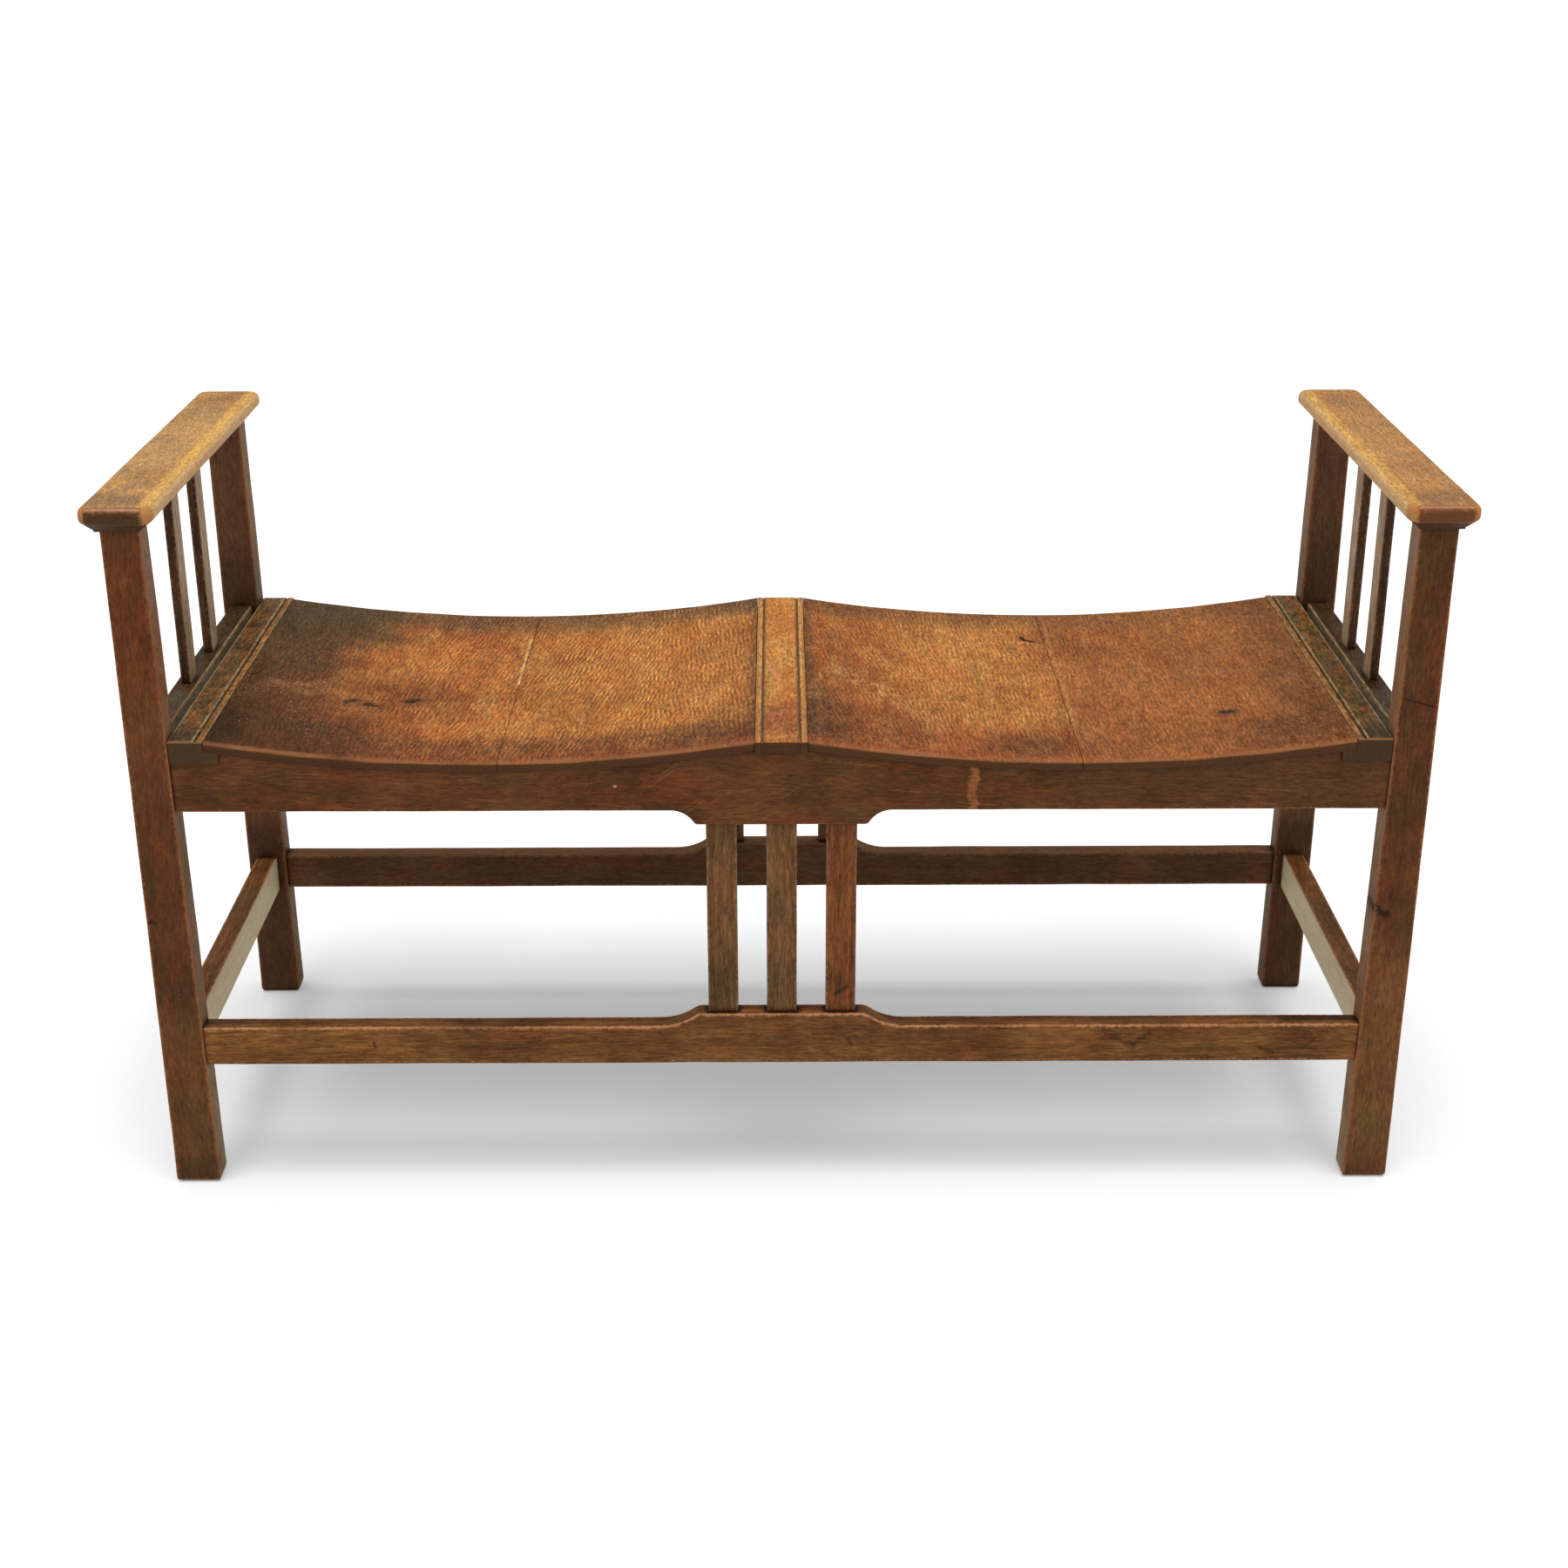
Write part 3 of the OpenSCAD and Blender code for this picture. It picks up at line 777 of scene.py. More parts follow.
def facing(axis, full, none, colour, strength):
    """Lays a colour by how far faces point along an axis: all of it at full, nothing at none. It paints light
    and shade by which way faces turn.
    """
    def lay(wood, base):
        normal = wood.add("ShaderNodeNewGeometry", {}).outputs["Normal"]
        parts = wood.add("ShaderNodeSeparateXYZ", {0: normal}).outputs
        return wood.tint(wood.step(parts[axis], full, none, 1.0, 0.0), base, colour, strength)
    return lay


def inner_side_light(side, colour, strength):
    """Paints light on the faces at one end of the bench that face its middle: a paler colour stands in for
    the light they catch.
    """
    return facing(X_AXIS, -0.8 * side, -0.5 * side, colour, strength)


def along_grain(wood, axis, sway):
    """A function that gives noise drawn out along an axis, in lines that sway."""
    push = wood.vector("SUBTRACT", wood.noise(wood.shifted, *SWAY_NOISE, colour=True), NOISE_MIDDLE)
    swayed = wood.vector("ADD", wood.vector("ADD", wood.here, wood.shift), wood.scaled(push, (sway,) * 3))
    turn = {"rotation_type": ("X_AXIS", "Y_AXIS", "Z_AXIS")[axis]}
    swayed = wood.add("ShaderNodeVectorRotate", {0: swayed, "Angle": SLANT[0]}, **turn).outputs[0]

    def grain(lengthwise, across, detail, roughness):
        scales = [across] * 3
        scales[axis] = lengthwise
        return wood.noise(wood.scaled(swayed, scales), 1.0, detail, roughness)

    return grain


def ground(wood, look, mottle):
    """The wood's ground colour, between dark and mid, with redder and greener patches."""
    cloud = wood.noise(wood.shifted, look["cloud"], *CLOUD_FINENESS)
    base = wood.mix(wood.step(cloud, *CLOUD_RANGE), linear(look["dark"]), linear(look["mid"]))
    base = wood.tint(wood.step(mottle, *RED_RANGE), base, look["red"], look["mottle_share"])
    return wood.tint(wood.step(mottle, *GREEN_RANGE), base, look["green"], look["mottle_share"])


def figure(wood, base, look, grain, streaks, pores):
    """base with its rings, streaks, flecks, pores and specks."""
    rings = grain(*look["rings"], *RING_FINENESS)
    base = wood.shade(wood.step(rings, *RING_RANGE), base, look["ring_depth"])
    base = wood.shade(wood.step(streaks, *STREAK_RANGE), base, look["streak_depth"])
    flecks = grain(*look["flecks"], *FLECK_FINENESS)
    base = wood.shade(wood.step(flecks, *FLECK_RANGE), base, look["fleck_depth"])
    base = wood.tint(pores, base, look["pore"], look["pore_share"])
    specks = wood.math("MULTIPLY", wood.mask(*SPECKS), wood.mask(*SPECK_GROUPS))
    return wood.tint(specks, base, look["speck"], look["speck_share"])


def wear(wood, base, look):
    """base with its arrises worn, here more and there less."""
    arris = wood.add("ShaderNodeAttribute", {}, attribute_name="arris").outputs["Fac"]
    reach = wood.math("ADD", arris, wood.mask(*CHIPS, -CHIP_DEPTH, CHIP_DEPTH))
    worn = wood.step(reach, WORN_CORE * look["worn_w"], look["worn_w"], 1.0, 0.0)
    worn = wood.math("MULTIPLY", worn, wood.mask(*WEAR_PATCHES, look["worn_least"], 1.0))
    return wood.tint(worn, base, look["worn"], look["worn_share"])


def grime_and_shade(wood, base, look):
    """base darkened in the inner corners between the pieces by ambient occlusion: grime and painted shade
    together.
    """
    reach = {"Distance": look["grime_and_shade_w"]}
    open_air = wood.add("ShaderNodeAmbientOcclusion", reach, samples=GRIME_AND_SHADE_SAMPLES).outputs["AO"]
    return wood.tint(wood.step(open_air, *OPEN_AIR_RANGE, 1.0, 0.0), base, look["grime_and_shade"], look["grime_and_shade_share"])


def finish_surface(wood, base, look, mottle, streaks, pores):
    """Gives the shader its colour, roughness, gloss and fine relief."""
    uneven = wood.math("ADD", mottle, wood.math("MULTIPLY", pores, PORE_ROUGHNESS))
    lines = wood.math("MULTIPLY", streaks, STREAK_HEIGHT)
    height = wood.math("ADD", lines, wood.math("MULTIPLY", pores, PORE_HEIGHT))
    swells = wood.math("MULTIPLY", wood.noise(wood.shifted, *SWELL_NOISE), SWELL_HEIGHT)
    relief = {"Strength": look["bump"], "Distance": BUMP_DEPTH, "Height": wood.math("ADD", height, swells)}
    grazing = wood.add("ShaderNodeLayerWeight", {}).outputs["Facing"]
    results = {
        "Base Color": base,
        "Roughness": wood.step(uneven, *ROUGH_RANGE, *look["rough"]),
        "Specular IOR Level": wood.step(grazing, *GRAZING_RANGE, look["shine"], look["edge_shine"]),
        "Normal": wood.add("ShaderNodeBump", relief).outputs["Normal"],
    }
    for socket, result in results.items():
        wood.tree.links.new(result, wood.shader.inputs[socket])


def oak(name, seed, axis, look):
    """Stained oak for one piece, with its grain along an axis."""
    wood = Recipe(name, seed)
    grain = along_grain(wood, axis, look["sway"])
    streaks = grain(*STREAK_GRAIN)
    pores = wood.step(grain(*PORE_GRAIN), *PORE_RANGE)
    mottle = grain(MOTTLE_ALONG * look["cloud"], MOTTLE_ACROSS * look["cloud"], *MOTTLE_FINENESS)
    base = ground(wood, look, mottle)
    for lay in MARKS.get(name, ()):
        base = lay(wood, base)
    base = figure(wood, base, look, grain, streaks, pores)
    base = wear(wood, base, look)
    for lay in MARKS_OVER_WEAR.get(name, ()):
        base = lay(wood, base)
    # Painted shade and grime, darker where other pieces close the wood in
    base = grime_and_shade(wood, base, look)
    finish_surface(wood, base, look, mottle, streaks, pores)
    return wood.material


# In each look the grime colour, reach and share set the grime and painted shade laid in inner corners
FRAME_LOOK = {
    "dark": "#553219", "mid": "#704424", "red": "#803f20", "green": "#58441e",
    "pore": "#2a180c", "worn": "#a3663e", "grime_and_shade": "#1b120b", "speck": "#a07a50",
    "sway": 0.03, "rings": (7.0, 110.0), "cloud": 11.0, "flecks": (90.0, 420.0),
    "mottle_share": 0.5, "ring_depth": 0.08, "streak_depth": 0.1, "fleck_depth": 0.2,
    "pore_share": 0.3, "speck_share": 0.2,
    "worn_w": 1.6 * MM, "worn_least": 0.15, "worn_share": 0.6, "grime_and_shade_w": 12 * MM, "grime_and_shade_share": 0.8,
    "rough": (0.34, 0.5), "bump": 0.35, "shine": 0.1, "edge_shine": 0.02,
}
POST_LOOK = dict(
    FRAME_LOOK, worn="#a8643a", worn_w=2.4 * MM, worn_least=0.5, worn_share=0.75, grime_and_shade_share=0.5,
)
REAR_POST_LOOK = dict(POST_LOOK, dark="#61402a", mid="#734d32", red="#7c4428")
STRETCHER_LOOK = dict(
    FRAME_LOOK, dark="#68401f", mid="#88572c", red="#864a26", green="#765629", mottle_share=0.4,
    streak_depth=0.26, ring_depth=0.18, worn="#c88a5e", worn_w=2.4 * MM, worn_least=0.5, worn_share=0.95,
)
REAR_LOOK = dict(FRAME_LOOK, dark="#5f412a", mid="#704f34", worn="#b08458", worn_w=3 * MM, worn_least=0.5)
SEAT_RAIL_LOOK = dict(
    FRAME_LOOK, dark="#442f1c", mid="#5c432a", red="#6c4226", green="#544a34", fleck_depth=0.36,
    grime_and_shade="#33241a", grime_and_shade_share=0.3, speck_share=0.5,
)
SLAT_LOOK = dict(
    STRETCHER_LOOK, dark="#664424", mid="#80562e", rings=(4.0, 170.0), ring_depth=0.2, mottle_share=0.3,
    worn="#947660", worn_w=1.6 * MM, worn_share=0.75,
)
ARM_SLAT_LOOK = dict(SLAT_LOOK, dark="#442a18", mid="#573a20", red="#643a20", green="#463618")
BEARER_LOOK = dict(
    FRAME_LOOK, dark="#54422a", mid="#8c6438", red="#a2582e", green="#5c5232", worn="#a89878",
    cloud=30.0, mottle_share=0.75, speck="#d09a64", speck_share=0.8, worn_share=0.7, fleck_depth=0.45,
    grime_and_shade="#33241a", grime_and_shade_share=0.4,
)
BOARD_LOOK = {
    "dark": "#945224", "mid": "#ba6f35", "red": "#9e4c24", "green": "#b07a40",
    "pore": "#5c3218", "worn": "#9a623c", "grime_and_shade": "#2c1d12", "speck": "#d0a068",
    "sway": 0.03, "rings": (16.0, 80.0), "cloud": 11.0, "flecks": (100.0, 430.0),
    "mottle_share": 0.6, "ring_depth": 0.12, "streak_depth": 0.14, "fleck_depth": 0.36,
    "pore_share": 0.4, "speck_share": 0.8,
    "worn_w": 6 * MM, "worn_least": 0.4, "worn_share": 0.8, "grime_and_shade_w": 6 * MM, "grime_and_shade_share": 0.8,
    "rough": (0.38, 0.54), "bump": 0.5, "shine": 0.1, "edge_shine": 0.04,
}
STILE_LOOK = dict(
    BOARD_LOOK, dark="#bf7838", mid="#cf8c48", red="#bd6a34", green="#c29050", pore="#7c4a22",
    rings=(7.0, 130.0), ring_depth=0.06, streak_depth=0.1, fleck_depth=0.34, worn_w=5 * MM,
)
ARM_LOOK = dict(
    BOARD_LOOK, dark="#a87c4e", mid="#d09a5c", red="#bd7c42", green="#9c7e5c", pore="#6b4a2b",
    worn="#dd9a50", speck="#ecd0a0", rings=(9.0, 110.0), ring_depth=0.06, cloud=15.0, worn_w=4 * MM,
    mottle_share=0.5, grime_and_shade_w=8 * MM, shine=0.1, fleck_depth=0.24, flecks=(120.0, 560.0),
)

# Painted shade under the arms' noses, on the undercut and fillet
UNDERCUT_SHADE = "#3a2616"
# Painted shade on the boards' faces that do not face up, seen most on the front of their nosing
NOSE_SHADE = "#4e321c"
NOSE_FRONT = {"left": "#442b17", "right": "#6a3c20"}
# Painted light on the arm slats' inner sides
SIDE_LIGHT = "#ccb090"
KNOT_BROWN = "#2c1b0f"

# Places that many marks share, in millimetres
past_seat = seat_half_d / MM + 2
post_face = -foot_high.y / MM
rail_face = -rail_high.y / MM
foot_x = (foot_low.x + foot_high.x) / 2 / MM
arm_x = (arm_low.x + arm_high.x) / 2 / MM
slat_x = sum(corner.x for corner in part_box("front_slat_right")) / 2 / MM


def panel_marks(side):
    """The wear of a seat panel's edges: front, rear, along the bearer and along the stile."""
    mid_x, half_x = side * panel_mid_x / MM, panel_half_w / MM
    return [
        on_seat(mid_x, -184, half_x, 8, 40, "#743c1e", 0.6, 12, 0.45),
        on_seat(mid_x, 196, half_x, 18, 40, "#644628", 0.75, 14, 0.45),
        on_seat(side * 25, 0, 2, past_seat, 11, "#45321c", 0.7, 4, 0.5),
        on_seat(side * 38, -150, 10, 24, 46, "#3f2c18", 0.55, 12, 0.4),
        on_seat(side * 514, 0, 2, past_seat, 2, "#b87c44", 0.75, 1.2, 0.4),
        on_seat(mid_x, -201, half_x, 2, 6, "#a04c24", 0.6, 3, 0.3),
    ]


LEFT_PANEL = panel_marks(-1) + [
    on_seat(-150, 0, 90, 150, 60, "#cf8c46", 0.35, 20, 0.3),
    on_seat(-492, 0, 34, 230, 58, "#46321b", 0.93, 22, 0.12),
    on_seat(-466, 165, 50, 44, 60, "#523b20", 0.88, 22, 0.15),
    on_seat(-460, -170, 50, 34, 60, "#362412", 0.88, 22, 0.1),
    on_seat(-410, -70, 60, 44, 50, "#78401e", 0.55, 22, 0.5),
    on_seat(-464, -46, 20, 4, 18, "#a87040", 0.6, 14, 0.85),
    on_seat(-270, 192, 230, 16, 44, "#5a4632", 0.4, 14, 0.3),
    on_seat(-250, -186, 230, 16, 34, "#6a3a1e", 0.65, 14, 0.4),
    on_seat(-80, -170, 16, 10, 26, "#5a3a20", 0.4, 12, 0.4),
    on_seat(-395, 10, 22, 8, 28, "#c88a48", 0.35, 16, 0.6),
    *knot(SEAT_PLANE, (-412, -71), (-405, -67)),
    *knot(SEAT_PLANE, (-391, -74), (-383, -78)),
    *knot(SEAT_PLANE, (-356, -61), (-348, -56)),
    ripple(-400, 0, 50, 160, 50, -4, 0.16),
    ripple(-270, 10, 70, 190, 50, -10, 0.3),
    ripple(-165, 20, 40, 190, 40, -11, 0.32),
    ripple(-75, 20, 45, 190, 30, 3, 0.34),
    streak(SEAT_PLANE, (-257.5, 131), (-256, -8), 0.7, 1.6, "#dba868", 0.85, 0.4),
]
RIGHT_PANEL = panel_marks(1) + [
    on_seat(190, 30, 60, 120, 60, "#cf9048", 0.35, 20, 0.4),
    on_seat(390, 0, 100, 210, 50, "#965a2e", 0.6, 20, 0.2),
    on_seat(76, -150, 40, 40, 36, "#743c1e", 0.45, 18, 0.4),
    on_seat(40, -130, 10, 50, 28, "#452a15", 0.55, 14, 0.5),
    streak(SEAT_PLANE, (58, -6), (98, -58), 5, 14, "#d09a58", 0.32, 10, 0.8),
    streak(SEAT_PLANE, (98, -58), (136, -112), 5, 14, "#d09a58", 0.32, 10, 0.8),
    streak(SEAT_PLANE, (168, 140), (176, 40), 3, 10, "#d8a258", 0.35, 6, 0.7),
    on_seat(225, -168, 24, 10, 30, "#5c361c", 0.5, 14, 0.4),
    ripple(90, 20, 40, 170, 40, 12, 0.2),
    ripple(190, 10, 50, 180, 50, 4, 0.22),
    ripple(330, 0, 90, 180, 60, -1, 0.12),
    streak(SEAT_PLANE, (249, 132), (251, 122), 1.2, 2.5, KNOT_BROWN, 0.95, 0.5),
    streak(SEAT_PLANE, (251, 122), (259, 118), 1.2, 2.5, KNOT_BROWN, 0.95, 0.5),
    streak(SEAT_PLANE, (277, 194), (273, -158), 0.6, 1.6, "#c89858", 0.3, 0.8, 0.5),
    *knot(SEAT_PLANE, (414, -108), (422, -108)),
    on_seat(488, -172, 26, 20, 60, "#573620", 0.7, 20, 0.4),
    on_seat(500, 20, 8, 180, 50, "#70482a", 0.65, 14, 0.4),
]


def slat_tone(x, colour, strength):
    """A front slat's own tone over its whole face, broken up a little."""
    return stain((x, -203, 280), (20, 9, 120), 5, colour, strength, 0, 0.3)


# Each piece's marks under the wood's figure, and those over its worn arrises; some of them are painted light
# and painted shade
MARKS = {
    "centre_stile": [
        on_seat(0, -180, 24, 16, 70, "#8e4e2e", 0.65, 14, 0.4),
        on_seat(4, -150, 8, 20, 30, "#8a4226", 0.6, 8, 0.3),
        *[on_seat(x, 0, 1.5, past_seat, 2.2, "#e0ac5c", 0.4, 0.8) for x in (-21.5, 21.5)],
        *[on_seat(x, 0, 1.1, past_seat, 1.2, "#6a5334", 0.75) for x in (-16.6, 16.6)],
    ],
    "front_rail": [
        stain((173, rail_face, 420), (1.5, 3, 32), 4, "#b87040", 0.75, 5, 0.3),
        stain((-360, rail_face, 420), (8, 3, 40), 16, "#7e4424", 0.5, 8, 0.4),
        stain((-240, rail_face, 420), (30, 3, 40), 30, "#6e3c24", 0.25, 14, 0.3),
        stain((300, rail_face, 420), (12, 3, 24), 20, "#84502c", 0.4, 12, 0.5),
        stain((400, rail_face, 420), (120, 3, 40), 70, "#543c20", 0.4, 14, 0.2),
        scratches((-37, rail_face, 410), (60, 5, 22), 30, 35, "#b08050", 0.35),
        scratches((0, rail_face, 415), (540, 5, 40), 10, -4, "#a8703c", 0.3),
        streak(FRONT_PLANE, (-150.5, 412), (-149.5, 412), 0.5, 1.2, "#c8a07c", 0.8),
    ],
    "front_stretcher": [
        # Painted shadow on the top next to each post and along the back of the top
        stain((-500, -191, 168), (56, 5, 1.5), 8, "#1c140c", 0.9, 3),
        stain((515, -191, 168), (40, 5, 1.5), 8, "#1c140c", 0.9, 3),
        stain((0, -192, 168), (560, 5, 1), 1, "#5c3420", 0.7, 1, 0.3),
        stain((-450, rail_face, 148), (80, 3, 22), 60, "#96632e", 0.4, 12, 0.3),
        stain((0, rail_face, 150), (130, 3, 26), 70, "#58381c", 0.4, 12, 0.3),
        *[stain((x, -198, 181), (15, 6, 1.5), 4, "#1e140c", 0.8, 1) for x in (-slat_x, 0, slat_x)],
        *[stain((x, -203, 181), (9, 4, 1.5), 3, "#9a5430", 0.6, 2) for x in (-28, 28)],
        crack((-385, 152), (-384, 146), 0.4, 1.2, 0.8, 0.5),
        crack((-116, 161), (-110, 155), 0.4, 2, 0.4, 1),
        crack((60, 156), (66, 147), 0.5, 2, 0.6, 1),
        crack((304, 161), (332, 145), 0.8, 5, 0.6, 2, 0.4),
        crack((332, 145), (346, 158), 0.6, 4, 0.55, 2, 0.4),
        crack((450, 143), (466, 137), 0.5, 2, 0.5, 2),
        crack((494, 141), (504, 152), 0.4, 1.5, 0.55, 1),
    ],
    "front_slat_left": [
        slat_tone(-slat_x, "#705438", 0.35),
        stain((-slat_x, -203, 212), (20, 9, 10), 16, "#3e3a22", 0.45, 6, 0.4),
    ],
    "front_slat_middle": [
        slat_tone(0, "#6c5034", 0.4),
        stain((-4, -203, 212), (20, 9, 10), 16, "#3e3a22", 0.45, 6, 0.4),
    ],
    "front_slat_right": [
        slat_tone(slat_x, "#823f20", 0.6),
        stain((50, -203, 212), (4, 9, 2), 12, "#33301c", 0.4, 4),
        crack((50, 198), (61, 206), 0.6, 3, 0.7, 1),
    ],
    # Painted light: the rear stretcher's upward faces made lighter and warmer
    "rear_stretcher": [facing(Z_AXIS, 0.8, 0.5, "#a06a38", 0.6)],
}
MARKS_OVER_WEAR = {
    # Painted shade on the stile's faces that do not face up, below the crest of its nosing
    "centre_stile": [facing(Z_AXIS, 0.25, 0.6, "#402a18", 0.92)],
    "front_stretcher": [stain((0, rail_face, 128), (560, 3, 1), 2, "#50341c", 0.8, 0.6)],
}


def mark_posts(side, left):
    """The painted light on the inner sides of the two posts at one end of the bench and low on the front
    post's inner side, a pale band at the front post's foot, and the rear post darker in three places.
    """
    MARKS[f"front_{left}_post"] = [
        inner_side_light(side, "#b08a68", 0.6),
        # Painted light low on the front post's inner side
        stain((side * 544, -197, 60), (2, 11, 70), 3, "#c0ac84", 0.6, 1, 0.2),
    ]
    MARKS_OVER_WEAR[f"front_{left}_post"] = [
        stain((side * foot_x, post_face, 2), (30, 6, 1.5), 3, "#a86c3c", 0.7, 2, 0.3),
    ]
    MARKS[f"rear_{left}_post"] = [
        inner_side_light(side, "#a07c54", 0.6),
        # The rear post darker near the seat, just above its stretcher and near the floor
        stain((side * 568, 183, 480), (30, 4, 20), 40, "#2c1c12", 0.4, 8),
        stain((side * 568, 183, 185), (30, 4, 12), 20, "#2c1c12", 0.45, 8),
        stain((side * 568, 183, 60), (30, 4, 60), 40, "#3a2616", 0.35, 8),
    ]


def mark_bearer(side, left):
    """The pale lines along a seat bearer's edges and scratch, a dark patch at its front, and painted shade on
    its front and on its flank beside the gap.
    """
    MARKS[left + "_seat_bearer"] = [
        on_seat(side * 536, -196, 10, 8, 26, "#33302a", 0.7, 10),
        stain((side * 519.5, 0, 458), (2.2, past_seat, 1.5), 2, "#b87c44", 0.9, 2.4, 0.55),
        stain((side * 526, 0, 457.5), (0.4, past_seat, 1), 0.8, "#c0a67c", 0.75, 0.4, 0.3),
        on_seat(side * 523, 0, 0.4, past_seat, 0.6, "#5a4026", 0.55),
        stain((side * 547.5, 0, 457.5), (0.5, 204, 1), 0.9, "#b8a486", 0.7, 0.5, 0.4),
    ]
    MARKS_OVER_WEAR[left + "_seat_bearer"] = [
        # Painted shade on the faces that do not face up, and on the flank turned to the seat rail across the
        # gap
        facing(Z_AXIS, 0.3, 0.75, "#4a3420", 0.9),
        facing(X_AXIS, 0.75 * side, 0.3 * side, "#4a3828", 0.9),
        stain((side * 532, -209, 457), (16, 1, 0.8), 1.2, "#9a6e46", 0.8, 0.5),
    ]


def mark_arm(side, left):
    """The worn and stained top of an arm, painted light on its inner side, painted highlights on its top
    front edge and front corners, its dark nose and painted shade on its underside.
    """
    MARKS[left + "_arm"] = [
        # Painted light on the arm's inner side, the side facing the bench's middle
        facing(X_AXIS, -0.95 * side, -0.3 * side, "#f2d29c", 0.85),
        stain((side * 574, 40, 676), (10, 130, 3), 14, "#a8825a", 0.45, 8, 0.4),
        stain((side * 566, 10, 676), (8, 90, 3), 46, "#dfaa66", 0.3, 14, 0.3),
        stain((side * 574, -194, 676), (16, 4, 3), 28, "#7c624a", 0.6, 10, 0.3),
        stain((side * 544, 0, 674), (3, 240, 5), 4, "#f2ba62", 0.75, 1.5, 0.2),
    ]
    MARKS_OVER_WEAR[left + "_arm"] = [
        # More painted light on the inner side, over the worn arrises
        facing(X_AXIS, -0.95 * side, -0.4 * side, "#d8a464", 0.6),
        stain((side * arm_x, -226, 674), (24, 4, 1.5), 2.5, "#9c6040", 0.8, 1),
        # A painted highlight along the top front edge
        stain((side * arm_x, -226, 674.6), (24, 0.6, 0.4), 0.8, "#dcae8c", 0.7, 0.4, 0.3),
        # Painted highlights at the nose's two front corners
        stain((side * 539, -223, 668), (2, 6, 6), 7, "#b06a34", 0.6, 3),
        stain((side * 597, -223, 668), (2, 6, 6), 7, "#b06a34", 0.6, 3),
        *[stain((side * arm_x, y, 666), (22, 4, 5), 5, NOSE_FRONT[left], 0.92, 1.5) for y in (-232, 232)],
        # Painted shade on the undercut and fillet all round the arm
        stain((side * arm_x, 0, 656.5), (40, 240, 3.5), 1.5, UNDERCUT_SHADE, 0.92, 0.6),
    ]


def mark_end(side, left):
    """The marks of the other pieces at one end of the bench, with painted light on the inner sides of its arm
    slats, seat rail and stretcher, and painted shade on its boards' nosing.
    """
    for front in ("front", "rear"):
        # Painted light on the inner sides of the arm slats
        MARKS[f"{left}_arm_slat_{front}"] = [inner_side_light(side, SIDE_LIGHT, 0.85)]
    for part in ("inner", "outer"):
        MARKS[f"{left}_{part}_board"] = RIGHT_PANEL if side > 0 else LEFT_PANEL
        # Painted shade on the boards' nosing
        MARKS_OVER_WEAR[f"{left}_{part}_board"] = [facing(Z_AXIS, 0.25, 0.6, NOSE_SHADE, 0.92)]
    # The seat rail's inner side gets painted light
    MARKS[left + "_seat_rail"] = [
        inner_side_light(side, "#c8a878", 0.9),
        stain((side * 556.2, 0, 457), (0.6, 184, 1), 1, "#c0a684", 0.75, 0.5, 0.4),
        stain((side * 566, -130, 458), (12, 40, 2), 20, "#6c6456", 0.5, 12, 0.5),
    ]
    # Painted light on the stretcher's inner side, under and over its worn arrises
    MARKS[left + "_stretcher"] = [inner_side_light(side, "#ffecc8", 0.97)]
    MARKS_OVER_WEAR[left + "_stretcher"] = [inner_side_light(side, "#ffecc0", 0.75)]


for side, left in SIDES:
    mark_posts(side, left)
    mark_bearer(side, left)
    mark_arm(side, left)
    mark_end(side, left)
MARKS["right_arm"].append(stain((572, 0, 676), (26, 230, 3), 10, "#a86a3a", 0.45, 8, 0.4))
MARKS["front_left_post"] += [
    stain((-568, post_face, 560), (12, 6, 50), 50, "#84401f", 0.5, 14, 0.5),
    crack((-586, 282), (-578, 279), 1.2, 3, 0.85, 1),
    stain((-foot_x, post_face, 16), (18, 6, 6), 14, "#3c2c18", 0.6, 6, 0.3),
    stain((-foot_x, post_face, 60), (24, 6, 30), 40, "#5a4420", 0.4, 10, 0.2),
    stain((-576, post_face, 330), (14, 6, 80), 60, "#54301a", 0.35, 14, 0.2),
]
MARKS["front_right_post"] += [
    stain((568, post_face, 150), (30, 6, 60), 60, "#8c5e34", 0.5, 14, 0.3),
    *knot(FRONT_PLANE, (548, 289), (556, 283)),
    crack((554, 495), (580, 488), 0.4, 1, 0.85, 0.4),
    stain((foot_x, post_face, 16), (18, 6, 6), 14, "#3c2c18", 0.3, 6, 0.3),
    stain((foot_x, post_face, 50), (24, 6, 20), 30, "#7a5c34", 0.35, 10, 0.2),
]

# Seeds shift the noise, so that the pieces' figures differ; these are the middle ones of each kind
SEEDS = {
    "post": 3, "arm_slat": 13, "board": 17, "seat_rail": 20, "end_stretcher": 24, "arm": 28, "bearer": 32,
    "rail": 36, "stretcher": 40, "slat": 45, "stile": 52,
}


def dress(node, mesh, seed, axis, look):
    """Shows a mesh of oak in place of a CAD node."""
    add_piece(mesh, node, oak(node, seed, axis, look))


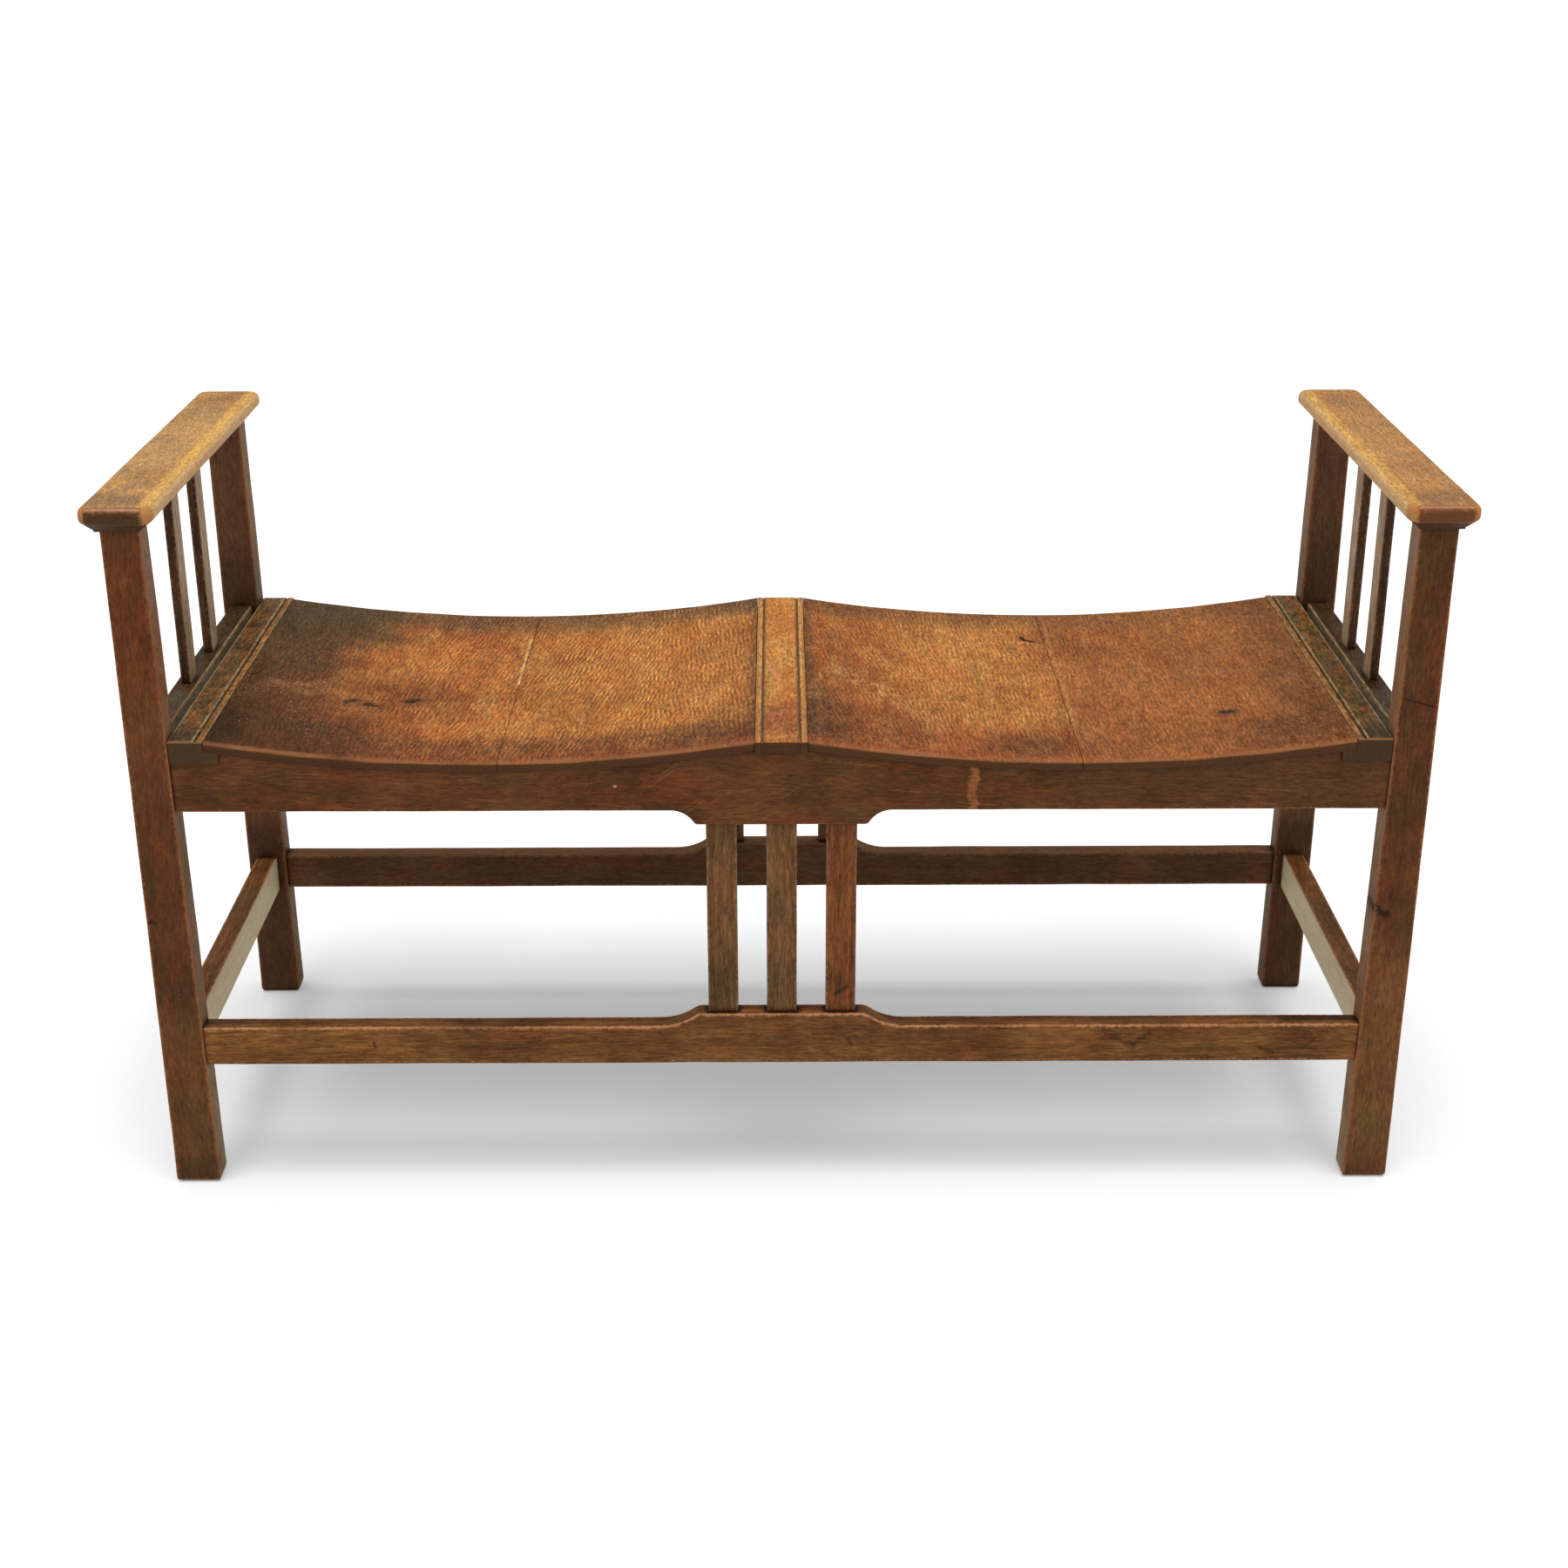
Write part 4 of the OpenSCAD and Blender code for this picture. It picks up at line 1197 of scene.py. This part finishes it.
def build_end(side, left):
    """Builds the pieces at one end of the bench."""
    for face, front in FACES:
        node = f"{front}_{left}_post"
        look = POST_LOOK if face < 0 else REAR_POST_LOOK
        dress(node, build_post(side, face), SEEDS["post"] + side + 2 * face, Z_AXIS, look)
        node = f"{left}_arm_slat_{front}"
        dress(node, build_slat(node), SEEDS["arm_slat"] + side + 2 * face, Z_AXIS, ARM_SLAT_LOOK)
    rail = build_end_bar(side, seat_rail_low, seat_rail_high)
    dress(left + "_seat_rail", rail, SEEDS["seat_rail"] + side, Y_AXIS, SEAT_RAIL_LOOK)
    bar = build_end_bar(side, end_bar_low, end_bar_high)
    dress(left + "_stretcher", bar, SEEDS["end_stretcher"] + side, Y_AXIS, STRETCHER_LOOK)
    dress(left + "_arm", build_arm(side), SEEDS["arm"] + side, Y_AXIS, ARM_LOOK)
    dress(left + "_seat_bearer", build_bearer(side), SEEDS["bearer"] + side, Y_AXIS, BEARER_LOOK)
    for part in ("inner", "outer"):
        node = f"{left}_{part}_board"
        dress(node, build_board(side, node), SEEDS["board"] + 5 * side, Y_AXIS, BOARD_LOOK)


def build_face(face, front):
    """Builds the long pieces and the slats at the front or the rear."""
    dress(front + "_rail", build_long_rail(face), SEEDS["rail"] + face, X_AXIS, FRAME_LOOK)
    look = STRETCHER_LOOK if face < 0 else REAR_LOOK
    dress(front + "_stretcher", build_long_stretcher(face), SEEDS["stretcher"] + face, X_AXIS, look)
    for i, part in enumerate(("left", "middle", "right")):
        node = f"{front}_slat_{part}"
        dress(node, build_slat(node), SEEDS["slat"] + i + 4 * face, Z_AXIS, SLAT_LOOK)


def build_bench():
    """Builds all pieces of the bench."""
    for side, left in SIDES:
        build_end(side, left)
    for face, front in FACES:
        build_face(face, front)
    stile_wood = oak("centre_stile", SEEDS["stile"], Y_AXIS, STILE_LOOK)
    add_piece(build_stile(), "centre_stile", stile_wood)
    add_piece(build_stile_lips(), "centre_stile", stile_wood, "_lips")


# The photograph's camera, solved from its edges in pixels of its 1800 x 1800 frame
PHOTO_SIDE = 1800
FOCAL_PIXELS = 2613.3
AXIS_PIXEL_X = 911.4
SENSOR_W = 36.0
CAMERA_PLACE = (-0.0035, -2.103, 1.1982)
CAMERA_PITCH = 22.48
CAMERA_YAW = -0.447
FAR_CLIP = 100


def add_camera():
    """The camera at the photograph's place and angle."""
    data = bpy.data.cameras.new("camera")
    data.sensor_width = SENSOR_W
    data.lens = FOCAL_PIXELS * SENSOR_W / PHOTO_SIDE
    data.shift_x = (PHOTO_SIDE / 2 - AXIS_PIXEL_X) / PHOTO_SIDE
    data.clip_end = FAR_CLIP
    camera = bpy.data.objects.new("camera", data)
    camera.location = CAMERA_PLACE
    camera.rotation_euler = (math.radians(90 - CAMERA_PITCH), 0, math.radians(CAMERA_YAW))
    bpy.context.scene.collection.objects.link(camera)
    bpy.context.scene.camera = camera


FLOOR_HALF = 30.0
FLOOR_WHITE = 0.87
FLOOR_LIFT = 0.27
LIFT_COLOUR = (0.965, 1.0, 1.03, 1.0)
BACKDROP_WHITE = 1.0
WORLD_LIGHT = 0.41
KEY_LIGHT = 2.0
KEY_SOFTNESS = 42
KEY_LEAN = 9


def by_viewer(tree, to_camera, to_others):
    """An output that has one value for the camera's own rays and another for all others."""
    path = tree.nodes.new("ShaderNodeLightPath")
    value = tree.nodes.new("ShaderNodeMath")
    value.operation = "MULTIPLY_ADD"
    value.inputs[1].default_value = to_camera - to_others
    value.inputs[2].default_value = to_others
    tree.links.new(path.outputs["Is Camera Ray"], value.inputs[0])
    return value.outputs[0]


def add_floor():
    """A plain white floor that fills the view."""
    mesh = bpy.data.meshes.new("floor")
    corners = box_outline((-FLOOR_HALF, -FLOOR_HALF), (FLOOR_HALF, FLOOR_HALF))
    mesh.from_pydata([(*corner, 0) for corner in corners], [], [(0, 1, 2, 3)])
    floor = bpy.data.objects.new("floor", mesh)
    bpy.context.scene.collection.objects.link(floor)
    material = bpy.data.materials.new("floor")
    material.use_nodes = True
    nodes, links = material.node_tree.nodes, material.node_tree.links
    nodes.remove(nodes["Principled BSDF"])
    matt = nodes.new("ShaderNodeBsdfDiffuse")
    matt.inputs["Color"].default_value = (FLOOR_WHITE,) * 3 + (1,)
    lift = nodes.new("ShaderNodeEmission")
    lift.inputs["Color"].default_value = LIFT_COLOUR
    both = nodes.new("ShaderNodeAddShader")
    links.new(by_viewer(material.node_tree, FLOOR_LIFT, 0.0), lift.inputs["Strength"])
    links.new(matt.outputs[0], both.inputs[0])
    links.new(lift.outputs[0], both.inputs[1])
    links.new(both.outputs[0], nodes["Material Output"].inputs["Surface"])
    mesh.materials.append(material)


def add_lights():
    """Soft light from all round, white where the camera sees it, and a wide soft light from above."""
    world = bpy.data.worlds.new("studio")
    bpy.context.scene.world = world
    world.use_nodes = True
    sky = world.node_tree.nodes["Background"]
    sky.inputs["Color"].default_value = (1, 1, 1, 1)
    strength = by_viewer(world.node_tree, BACKDROP_WHITE, WORLD_LIGHT)
    world.node_tree.links.new(strength, sky.inputs["Strength"])
    data = bpy.data.lights.new("key", "SUN")
    data.energy = KEY_LIGHT
    data.angle = math.radians(KEY_SOFTNESS)
    key = bpy.data.objects.new("key", data)
    key.rotation_euler = (math.radians(KEY_LEAN), 0, 0)
    bpy.context.scene.collection.objects.link(key)


add_camera()
add_floor()
add_lights()
noise.seed_set(UNEVEN_SEED)
build_bench()
bpy.context.scene.view_settings.view_transform = "Standard"
